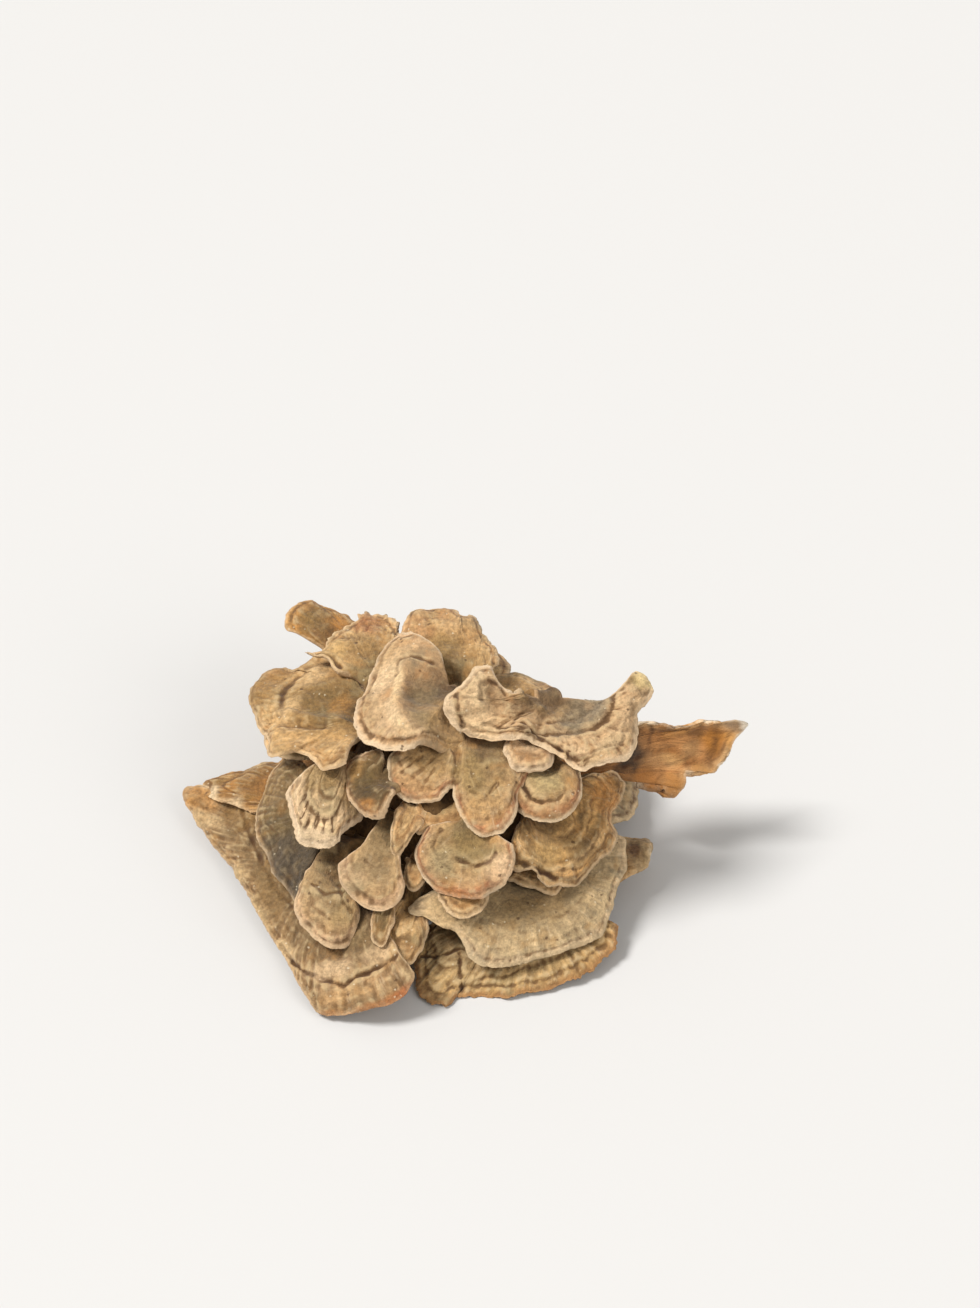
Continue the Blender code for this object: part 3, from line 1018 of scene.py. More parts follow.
        # The stalk, which flares towards the base
        stalk = self.stalk_line(stalk_rows)
        t = np.linspace(0, 1, stalk_rows + 1)[:-1]
        flare = 1 + 0.4 * (1 - t) ** 2
        across = neck[None, :, 1:] * flare[:, None, None]
        along = neck[None, :, :1] * t[:, None, None] ** 2
        place[:stalk_rows] = stalk[:-1, None, :] + self.right * across + self.forward * along

        # What the relief and the finish need to know of every point
        edge = self.distance(flat, margin[:, :2])
        down_stalk = np.concatenate([(1 - t) * stalk_length, np.zeros(rows + 1)])[:, None]
        edge = edge + down_stalk
        side = np.minimum(
            self.distance(flat, flat[stalk_rows::4, 0]),
            self.distance(flat, flat[stalk_rows::4, -1]),
        )
        rim = np.minimum(edge, side)
        direction = (margin[:, :2] - neck) / reach_line[:, None]
        tangent = unit(np.gradient(margin[:, :2], axis=0))
        incidence = np.abs(direction[:, 0] * tangent[:, 1] - direction[:, 1] * tangent[:, 0])
        depth = wide * np.clip(self.smoothed(incidence, columns // 10), 0.3, 1.0)
        inner = (1 - share) * depth[None] + down_stalk
        mix = smoothstep(0.6, 3.6, edge)
        zone = edge * (1 - mix) + inner * mix
        arc = np.broadcast_to(arc_line[None], edge.shape)
        fan = smoothstep(0.0, 0.3, v) + np.zeros_like(edge)
        outer = smoothstep(0.25, 0.95, v) + np.zeros_like(edge)
        square = smoothstep(0.4, 0.75, self.smoothed(incidence, columns // 20))[None] + np.zeros_like(edge)

        # The two faces, on each side of the bent sheet, which meet in a rounded rim
        grid = SheetGrid(place, flat, arc, zone, edge, rim, fan, outer, square)
        bend, relief, dark, tint = self.relief(grid)
        normal = self.normals(place, stalk_rows)
        thickness = cap.thick + (cap.thin - cap.thick) * share
        thickness = thickness * np.concatenate([flare, np.ones(rows + 1)])[:, None]
        near = np.clip(rim / self.ROUNDING, 0, 1)
        rounding = 1 - np.sqrt(1 - (1 - near) ** 2)
        sheet = place + normal * bend[..., None]
        top = sheet + normal * (relief - 0.42 * thickness * rounding)[..., None]
        pores = self.PORE_FOLDS * fan * self.noise(arc / 1.6, zone / 9, 21.0)
        pores = pores + 0.1 * self.noise(arc / 5, zone / 1.5, 9.0)
        bottom = sheet - normal * (thickness * (1 - 0.5 * rounding) + pores)[..., None]

        blurred = self.blur(relief, 3)
        cavity = np.clip((blurred - relief) / 0.3, -1, 1)
        lip = np.minimum(edge, 2.2 * side + 5 * (1 - fan))
        return self.mesh(top, bottom, (arc, zone, lip), (dark, cavity), tint)

    def bowed(self, flat: np.ndarray, u: np.ndarray, v: np.ndarray) -> np.ndarray:
        """Bow the fan's two sides inwards and let them sway.

        Args:
            flat: Points in the cap's plane, by row and column.
            u: How far across the fan each column lies, 0 to 1.
            v: How far out each row lies, 0 to 1.

        Returns:
            The moved points.
        """
        neck, margin = flat[0], flat[-1]
        for side, hand, bow in ((0, 1, self.cap.bows[0]), (-1, -1, self.cap.bows[1])):
            outer_line = margin[side] - neck[side]
            span = float(np.linalg.norm(outer_line))
            inward = np.array([outer_line[1], -outer_line[0]]) * hand / span
            sway = bow + 1.5 * self.cap.scallop * self.noise(v * span / 5.0, 2.5 * hand)
            near_side = smoothstep(0.4, 0.0, np.abs(u - u[side]))[None]
            flat = flat + (sway * np.sin(math.pi * v) * near_side)[..., None] * inward
        return flat

    def normals(self, place: np.ndarray, stalk_rows: int) -> np.ndarray:
        """Find which way the smooth sheet faces, away from its pore side.

        Args:
            place: The sheet's points, by row and column.
            stalk_rows: How many of the rows are the stalk's.

        Returns:
            A direction for each point, evened out with its neighbours'.
        """
        normal = unit(np.cross(np.gradient(place, axis=0), np.gradient(place, axis=1)))
        if float(np.mean(normal[stalk_rows:] @ self.up)) < 0:
            normal = -normal
        level = normal[stalk_rows + 1 :] @ self.up
        normal[stalk_rows + 1 :] *= np.where(level < 0, -1.0, 1.0)[..., None]
        return unit(np.stack([self.blur(normal[..., i], 2) for i in range(3)], axis=-1))

    @staticmethod
    def blur(field: np.ndarray, size: int) -> np.ndarray:
        """Average a field over a square of cells.

        Args:
            field: Its values, by row and column.
            size: How many cells the square reaches to each side.

        Returns:
            The averages.
        """
        window = np.ones(2 * size + 1) / (2 * size + 1)
        for axis in (0, 1):
            pad = [(0, 0), (0, 0)]
            pad[axis] = (size, size)
            padded = np.pad(field, pad, mode="edge")
            field = np.apply_along_axis(np.convolve, axis, padded, window, mode="valid")
        return field

    def relief(self, grid: SheetGrid) -> tuple[np.ndarray, np.ndarray, np.ndarray, np.ndarray]:
        """Work out the relief on the smooth sheet.

        Args:
            grid: What is known of every point of the sheet.

        Returns:
            How far the whole sheet bends, how far its top rises, how dark it is, and its tint.
        """
        place, arc, zone = grid.place, grid.arc, grid.zone
        edge, fan, outer = grid.edge, grid.fan, grid.outer
        cap, noise = self.cap, self.noise
        # Waves 8 mm and 3 mm long beside the margin, the edge's curl, and lumps of 12 mm
        bend = cap.ripple * smoothstep(9.0, 0.0, edge) * fan * noise(arc / 8.0, zone / 14, 3.0)
        bend += 0.35 * cap.ripple * smoothstep(4.0, 0.0, edge) * fan * noise(arc / 3.0, zone / 9, 13.0)
        bend -= cap.curl * (1 - np.clip(edge / 3.0, 0, 1)) ** 2 * fan
        bend += cap.lump * 1.1 * noise.at(place / 12.0)

        # Growth steps wander from the margin's line and fray along it
        wander = zone + 2.2 * noise(arc / 10.0, zone / 9.0, 5.0) * smoothstep(1.0, 6.0, zone)
        frayed = 0.35 * noise(arc / 2.2, zone / 4.0, 6.0)
        wander += frayed
        # Dents of 6 mm, radial wrinkles, fibres 1 mm apart, concentric wrinkles and a fine grain
        relief = cap.lump * 0.26 * noise.at(place / 6.0, octaves=3)
        relief += cap.lump * 0.5 * (np.abs(noise.at(place / 7.5 + 9)) - 0.3)
        ridges = noise.fractal(arc / cap.wrinkle_gap, zone / 12.0, 1.0, octaves=2)
        relief += cap.wrinkle * outer * (0.6 - np.abs(ridges) * 1.6) * smoothstep(0.0, 2.0, edge)
        relief += 0.05 * outer * noise(arc / 0.95, zone / 6.0, 2.0)
        relief += cap.ring * fan * noise.fractal(arc / 14.0, wander / 1.5, 7.0, octaves=2)
        relief += 0.05 * noise.at(place / 1.1)
        # Each growth step is a drop with a groove at its foot and a dark line that comes and goes
        dark = np.zeros_like(zone)
        broken = 0.5 + 1.1 * noise.fractal(arc / 7.0, 17.0, octaves=2)
        lines = [(edge + frayed - cap.lip, fan, cap.lip_drop, cap.lip_line)]
        lines += [(wander - where, fan * grid.square, drop, line) for where, drop, line in cap.steps]
        for beyond, shown, drop, line in lines:
            relief += drop * (smoothstep(-0.5, 0.5, beyond) - 0.5) * shown
            relief -= 0.45 * drop * np.exp(-((beyond / 0.4) ** 2)) * shown
            spread = 0.22 + 0.5 * np.abs(noise(arc / 5.0, 23.0))
            dark += line * np.exp(-((beyond / spread) ** 2)) * shown * np.clip(broken, 0, 1)
        for stroke in cap.strokes:
            self.draw(stroke, grid, bend, relief, dark)
        tint = np.zeros((*zone.shape, 4))
        for patch in cap.patches:
            self.lay(patch, grid, bend, tint)
        return bend, relief, np.clip(dark, 0, 1), tint

    def draw(
        self, stroke: Stroke, grid: SheetGrid, bend: np.ndarray, relief: np.ndarray, dark: np.ndarray
    ) -> None:
        """Draw a stroke on the sheet, along a line that jitters a little.

        Args:
            stroke: The stroke.
            grid: What is known of every point of the sheet.
            bend: How far the whole sheet bends, which a bending stroke adds to.
            relief: How far its top rises, which any other stroke adds to.
            dark: How dark it is, which that stroke adds to as well.
        """
        along, across = grid.flat[..., 0], grid.flat[..., 1]
        calm = smoothstep(0.0, 1.2, grid.rim)
        line = np.array([polar(*point) for point in stroke.points])
        gap = np.abs(self.distance(grid.flat, line) + 0.7 * self.noise(along / 2.6, across / 2.6, 31.0))
        if stroke.bend:
            bend += stroke.height * np.exp(-((gap / stroke.width) ** 2)) * calm
            return
        uneven = np.clip(0.8 + 0.9 * self.noise(along / 3.4, across / 3.4, 51.0), 0.3, 1.25)
        shape = np.exp(-((gap / (stroke.width * (0.5 + 0.6 * uneven))) ** 2)) * calm
        relief += stroke.height * shape
        dark += stroke.stain * shape * np.minimum(uneven, 1.0)

    def lay(self, patch: Patch, grid: SheetGrid, bend: np.ndarray, tint: np.ndarray) -> None:
        """Lay a cloud of colour over those laid before.

        Args:
            patch: The cloud.
            grid: What is known of every point of the sheet.
            bend: How far the whole sheet bends, which the cloud's bulge adds to.
            tint: The colour and strength of the clouds so far, which this changes.
        """
        bearing, reach = patch.where
        ray = np.array(polar(bearing, 1.0))
        offset = grid.flat - ray * reach
        along = offset @ ray
        across = offset @ np.array([-ray[1], ray[0]])
        far = np.hypot(along / patch.size[0], across / patch.size[1])
        far += 0.35 * self.noise(grid.flat[..., 0] / 4.0, grid.flat[..., 1] / 4.0, 41.0)
        bend += patch.rise * smoothstep(1.5, 0.0, far) * grid.fan
        weight = patch.strength * smoothstep(1.25, 0.35, far)
        colour = np.array(linear(patch.colour)[:3])
        share = weight / np.maximum(weight + tint[..., 3] * (1 - weight), 1e-6)
        tint[..., :3] += (colour - tint[..., :3]) * share[..., None]
        tint[..., 3] = weight + tint[..., 3] * (1 - weight)

    def mesh(
        self,
        top: np.ndarray,
        bottom: np.ndarray,
        growth: tuple[np.ndarray, np.ndarray, np.ndarray],
        marks: tuple[np.ndarray, np.ndarray],
        tint: np.ndarray,
    ) -> bpy.types.Object:
        """Lay a thickened grid over the two faces of the sheet and write its attributes.

        Args:
            top: Points of the upper face, by row and column.
            bottom: Points of the pore side.
            growth: Distance along the margin, growth zone and distance to the lip's edge.
            marks: Darkness of the lines, and how hollow the relief is.
            tint: Colour and strength of the patches.

        Returns:
            The finished object.
        """
        rows, columns = top.shape[0] - 1, top.shape[1] - 1
        bpy.ops.object.select_all(action="DESELECT")
        bpy.ops.mesh.primitive_grid_add(x_subdivisions=columns, y_subdivisions=rows, size=2.0)
        obj = bpy.context.object
        obj.name = self.cap.name + "_fine"
        grid = np.empty(len(obj.data.vertices) * 3)
        obj.data.vertices.foreach_get("co", grid)
        grid = grid.reshape(-1, 3)
        column = np.rint((1 - grid[:, 0]) / 2 * columns).astype(int)
        row = np.rint((grid[:, 1] + 1) / 2 * rows).astype(int)
        bpy.ops.object.modifier_add(type="SOLIDIFY")
        obj.modifiers[0].thickness = 0.01
        bpy.ops.object.modifier_apply(modifier=obj.modifiers[0].name)
        points = np.concatenate([top[row, column], bottom[row, column]]) * MM
        points[:, 2] = np.maximum(points[:, 2], 0.0)
        obj.data.vertices.foreach_set("co", points.ravel())
        under = np.repeat([0.0, 1.0], len(row))
        picked = [np.tile(field[row, column], 2) for field in (*growth, *marks)]
        self.write(obj.data, "growth", "FLOAT_VECTOR", np.stack(picked[:3], axis=1))
        self.write(obj.data, "marks", "FLOAT_VECTOR", np.stack([*picked[3:], under], axis=1))
        self.write(obj.data, "tint", "FLOAT_COLOR", np.tile(tint[row, column], (2, 1)))
        obj.data.update()
        bpy.ops.object.shade_smooth()
        return obj

    @staticmethod
    def write(mesh: bpy.types.Mesh, name: str, kind: str, values: np.ndarray) -> None:
        """Write one value for each vertex as a mesh attribute.

        Args:
            mesh: The mesh.
            name: What the attribute is called.
            kind: Its data type.
            values: The values, a row for each vertex.
        """
        attribute = mesh.attributes.new(name, kind, "POINT")
        field = "color" if kind == "FLOAT_COLOR" else "vector"
        attribute.data.foreach_set(field, values.astype(np.float32).ravel())


@dataclass(frozen=True)
class WoodyBase:
    """The lumpy woody foot that every cap grows from, cut off flat underneath.

    Attributes:
        centre: Middle of the ellipsoid.
        semi_axes: Its half sizes.
        lump: How far its broad lumps stick out, as a share of its size.
        heart: Where the stalks head for.
        foot_share: How far out in the ellipsoid a stalk starts.
        segments: Faces round it.
        rings: Faces from pole to pole.
        SEED: Picks the pattern of its roughness.
        PITS: Width of the pits in its crust, in mm.
        CLOUDS: Width of the worn patches on it, in mm.
    """

    centre: Point = (0.0, 0.0, 12.0)
    semi_axes: Point = (34.0, 32.0, 34.0)
    lump: float = 0.05
    heart: Point = (0.0, 0.0, 16.0)
    foot_share: float = 0.84
    segments: int = 200
    rings: int = 120

    SEED = 77
    PITS = 1.11111
    CLOUDS = 6.66667
    CRUST = "#3C2A19"
    WORN_CRUST = "#6E5231"
    PIT_DIRT = "#22160C"
    CUT_FLESH = "#B89A6E"

    def inside(self, root: Vector) -> Vector:
        """Find where a stalk starts, on the line from its root to the base's heart.

        Args:
            root: Where the stalk ends.

        Returns:
            The place where it starts, inside the base.
        """
        heart, centre = Vector(self.heart), Vector(self.centre)
        share = 0.0
        while share < 1:
            offset = root.lerp(heart, share) - centre
            if math.sqrt(sum((o / a) ** 2 for o, a in zip(offset, self.semi_axes))) <= self.foot_share:
                break
            share += 0.01
        return root.lerp(heart, share)

    def build(self) -> bpy.types.Object:
        """Shape the base from a sphere and cut it flat.

        Returns:
            The finished object.
        """
        bpy.ops.object.select_all(action="DESELECT")
        bpy.ops.mesh.primitive_uv_sphere_add(segments=self.segments, ring_count=self.rings, radius=1.0)
        obj = bpy.context.object
        obj.name = "base_fine"
        points = np.empty(len(obj.data.vertices) * 3)
        obj.data.vertices.foreach_get("co", points)
        ray = points.reshape(-1, 3)
        turn = np.arctan2(ray[:, 1], ray[:, 0])
        lump = np.sin(3 * turn + 0.6) + 0.7 * np.cos(5 * turn + 4 * ray[:, 2])
        size = 1 + self.lump * np.sqrt(np.clip(1 - ray[:, 2] ** 2, 0, 1)) * lump
        shape = ray * np.array(self.semi_axes) * size[:, None]
        noise = LatticeNoise(self.SEED)
        # Lumps of 9 mm, and upright ridges about 3 mm apart
        rough = 0.9 * noise.at(shape / 9.0, octaves=4)
        ridged = 1 - 2 * np.abs(noise.at(shape / (3.2, 3.2, 14.0)))
        shape += ray * (rough + 0.5 * ridged - 0.4)[:, None]
        obj.data.vertices.foreach_set("co", ((shape + np.array(self.centre)) * MM).ravel())
        bpy.ops.object.mode_set(mode="EDIT")
        bpy.ops.mesh.select_all(action="SELECT")
        bpy.ops.mesh.bisect(plane_co=(0, 0, 0), plane_no=(0, 0, 1), use_fill=True, clear_inner=True)
        bpy.ops.object.mode_set(mode="OBJECT")
        obj.data.shade_smooth()
        obj.data.set_sharp_from_angle(angle=math.radians(50))
        obj.data.materials.append(self.bark())
        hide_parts("base")
        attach(obj, BODY)
        return obj

    def bark(self) -> bpy.types.Material:
        """Build the base's finish as a node material.

        Returns:
            The material.
        """
        # Woody flesh under a crust: dark, rough and dusty, with a paler rim at the cut face
        paint = Shading("woody_base")
        place = paint.add("TexCoord").outputs["Object"]
        coarse, fine = (
            paint.add("TexNoise", {"Vector": place, "Scale": 1 / (width * MM), "Detail": 4.0,
                                   "Roughness": paint.NOISE_ROUGHNESS})
            for width in (self.CLOUDS, self.PITS)
        )
        colour = paint.coat(linear(self.CRUST), self.WORN_CRUST, coarse, (0.35, 0.65), 1.0)
        colour = paint.coat(colour, self.PIT_DIRT, fine, (0.5, 0.7), 0.5)
        height = paint.add("SeparateXYZ", [place]).outputs["Z"]
        colour = paint.coat(colour, self.CUT_FLESH, height, (0.6 * MM, 0.1 * MM), 0.8)
        return paint.surface(colour, fine, 0.7, 0.6, 0.92)


@dataclass(frozen=True)
class Tier:
    """A group of caps that grow at about the same height.

    Attributes:
        name: What the tier is called.
        caps: Its caps.
        cell: Width of the cells of their meshes, in mm.
    """

    name: str
    caps: tuple[Cap, ...]
    cell: float = 0.52

    def build(self, foot: WoodyBase, materials: dict[Finish, bpy.types.Material], first_seed: int) -> int:
        """Build and dress each cap.

        Args:
            foot: The base that the caps grow from.
            materials: The finishes built so far, which this adds to.
            first_seed: The seed of the first cap's noise.

        Returns:
            How many triangles the tier's caps have.
        """
        total = 0
        for offset, cap in enumerate(self.caps):
            obj = CapSheet(cap, first_seed + offset, foot, self.cell).build()
            if cap.finish not in materials:
                materials[cap.finish] = cap.finish.material()
            obj.data.materials.append(materials[cap.finish])
            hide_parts(cap.name)
            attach(obj, BODY)
            triangles = 2 * len(obj.data.polygons)
            total += triangles
            LOG.info("%s: %s, %d triangles", self.name, obj.name, triangles)
        return total


FRONT = Tier("front tier", (
    Cap("front_left_cap", (-33, -23, 15), (-54, -36, 4),
        ((81, 34, 0), (78, 42, 0), (77, 49, 1), (74, 56, 1), (71, 61, 0), (67, 56, 0), (61, 48, 0),
         (50, 37, 0), (27, 28, 0), (-3, 27, 0), (-26, 31, 0), (-40, 38.5, 0), (-45.5, 43.5, 0),
         (-48.5, 46, 0), (-54, 47.4, 0), (-61, 47.8, 0), (-67, 48.6, 0), (-73, 49.5, 0), (-79, 49.3, 0),
         (-83.5, 48, 0), (-86.5, 46, 0), (-87.5, 40, 0)),
        finish=STREAKED, ruffles=2, ruffle=0.8, neck=18, lip=2.6, lip_line=0.15, lip_drop=0.12,
        steps=(), wrinkle=0.45, wrinkle_gap=5.0, scallop=0.5, teeth=0.2, lump=1.2, ring=0.14,
        strokes=(Stroke(((-20, 28), (-28, 30.3), (-39, 34), (-52, 37.4), (-61, 40.4), (-67.5, 38.8),
                         (-75, 38.6), (-86, 39)), 0.5, -1.1, 1.0),
                 Stroke(((-36, 29), (-50, 32), (-62, 34.5), (-76, 33.5)), 2.0, 0.8, 0.0, bend=True),
                 Stroke(((-8, 23), (20, 22), (55, 28), (70, 40)), 2.2, -0.8, 0.0, bend=True),
                 Stroke(((74, 38), (62, 29), (42, 21.6), (12, 17.8), (-8, 17)), 0.8, -0.5, 0.8)),
        patches=(Patch((-79, 48.5), (1.8, 8), "#A65E32", 0.8), Patch((-66, 48.6), (1.4, 8), "#A86C3C", 0.75),
                 Patch((-53, 47), (1.2, 5), "#A96C3A", 0.6), Patch((-60, 43), (2.5, 8), "#CFA26C", 0.5),
                 Patch((71, 52), (8, 7), "#C08A4C", 0.7, 1.5), Patch((72, 36), (9, 6), "#8C6838", 0.6),
                 Patch((-72, 26), (7, 5), "#8A724C", 0.6, 0.8),
                 Patch((-56, 35), (3, 9), "#D6B48A", 0.75, 0.4),
                 Patch((-78, 35), (3, 5), "#CFAE84", 0.7), Patch((20, 20), (5, 14), "#86683F", 0.7),
                 Patch((64, 48), (8, 3), "#CDAE80", 0.75), Patch((38, 31), (5, 5), "#C9A97A", 0.75),
                 Patch((8, 26), (2.8, 8), "#C9A97A", 0.75), Patch((-24, 29), (2.6, 6), "#CDAE80", 0.7),
                 Patch((75, 55), (6, 1.6), "#E2C8A0", 0.8))),
    Cap("front_right_cap", (18, -29, 18), (30, -53, 8),
        ((97, 26, 0), (93, 33, 0), (88, 34, 0), (83, 31, 0), (75, 29, 0), (66, 27, 0), (58, 28, 0),
         (51, 31, 0), (41, 31, 0), (31, 30, 0), (16, 28, 0), (-3, 28, 0), (-18, 30, 0), (-29, 31, 0),
         (-39, 30, 0), (-49, 30, 0), (-59, 30, 0), (-69, 33, 0), (-78, 34, 0), (-85, 35, 0), (-90, 31, 0)),
        finish=GREY, ruffles=2, ruffle=0.8, neck=12, wrinkle=0.16, lump=0.6, ring=0.1, lip_drop=0.2,
        lip_line=0.1, steps=((12.0, 0.2, 0.2),), scallop=0.5,
        patches=(Patch((80, 27), (5, 8), "#C9A878", 0.7, 0.8), Patch((10, 14), (6, 14), "#8A6C42", 0.6))),
    Cap("front_lower_cap", (19, -30, 9), (16, -61, 2.4),
        ((64, 30, 0), (56, 34, 0), (48, 37, 0), (42, 41, 0), (37, 43, 0), (31, 43, 0), (25, 41, 0),
         (21, 37, 0), (15, 34, 0), (6, 33, 0), (-4, 32, 0), (-15, 32, 0), (-26, 31, 0), (-38, 31, 0),
         (-49, 32, 0), (-59, 32, 0), (-66, 31, 0), (-74, 30, 0)),
        finish=RUST_ORANGE, dome=0.8, neck=12, lip=3.2, lip_line=0.4, lip_drop=0.5,
        steps=((9.0, 0.5, 0.3),), wrinkle=0.4, scallop=0.9, teeth=0.5,
        strokes=(Stroke(((36, 26), (28, 31), (23, 35)), 0.4, -0.8, 0.9),
                 Stroke(((50, 34), (43, 30.5), (38, 25), (17, 22.6)), 0.4, -0.6, 0.8))),
    Cap("small_tongue_cap", (-11.5, -38.2, 16), (-15.2, -58.2, 10), round_margin(20, 14), neck=4, lip=1.6),
    Cap("second_tongue_cap", (-18, -35, 20.6), (-20.4, -56, 16), round_margin(21, 8), finish=OLIVE,
        dome=1.0, neck=4, lip=1.2),
    Cap("lower_left_cap", (-31, -26, 24.5), (-31, -52, 14),
        ((46, 12, 0), (45, 18, 0), (35, 23, 0), (24, 26, 0), (12, 29, 0), (2, 30, 0), (-5, 29, 0),
         (-11, 25, 0), (-15, 22, 0), (-17, 20, 0)),
        neck=8, lip=1.7, lip_line=0.7, steps=(), lump=1.6, finish=PINK_LIPPED,
        strokes=(Stroke(((36, 14), (16, 15.5), (-4, 14)), 0.35, -0.5, 0.3),
                 Stroke(((2, 12), (-2, 17), (-8, 20)), 0.4, -0.5, 0.3),
                 Stroke(((30, 17), (22, 20), (8, 22)), 0.4, -0.35, 0.2)),
        patches=(Patch((24, 20), (4, 5), "#C09C70", 0.5, 1.0), Patch((-4, 21), (4, 5), "#94794C", 0.5),
                 Patch((6, 9), (5, 6), "#7E6240", 0.7, -1.2))),
    Cap("under_disc_cap", (3, -34, 23.5), (3, -50, 20.5), round_margin(15.5, 15), dome=0.6, neck=6,
        thick=2.0, lip=1.2),
    Cap("right_strip_cap", (37, -19, 10), (58, -16, 11),
        ((49, 13, 0), (28, 16, 0), (20, 18, 0), (9, 20, 0), (-6, 22, 0), (-18, 22, 0), (-27, 18, 0),
         (-38, 13, 0)),
        finish=ORANGE, dome=0.5,
        patches=(Patch((0, 17), (7, 12), "#B49A74", 0.85), Patch((-3, 16), (2.5, 4), "#6B4A33", 0.8),
                 Patch((2, 21), (1.4, 8), "#D9C09A", 0.7))),
))

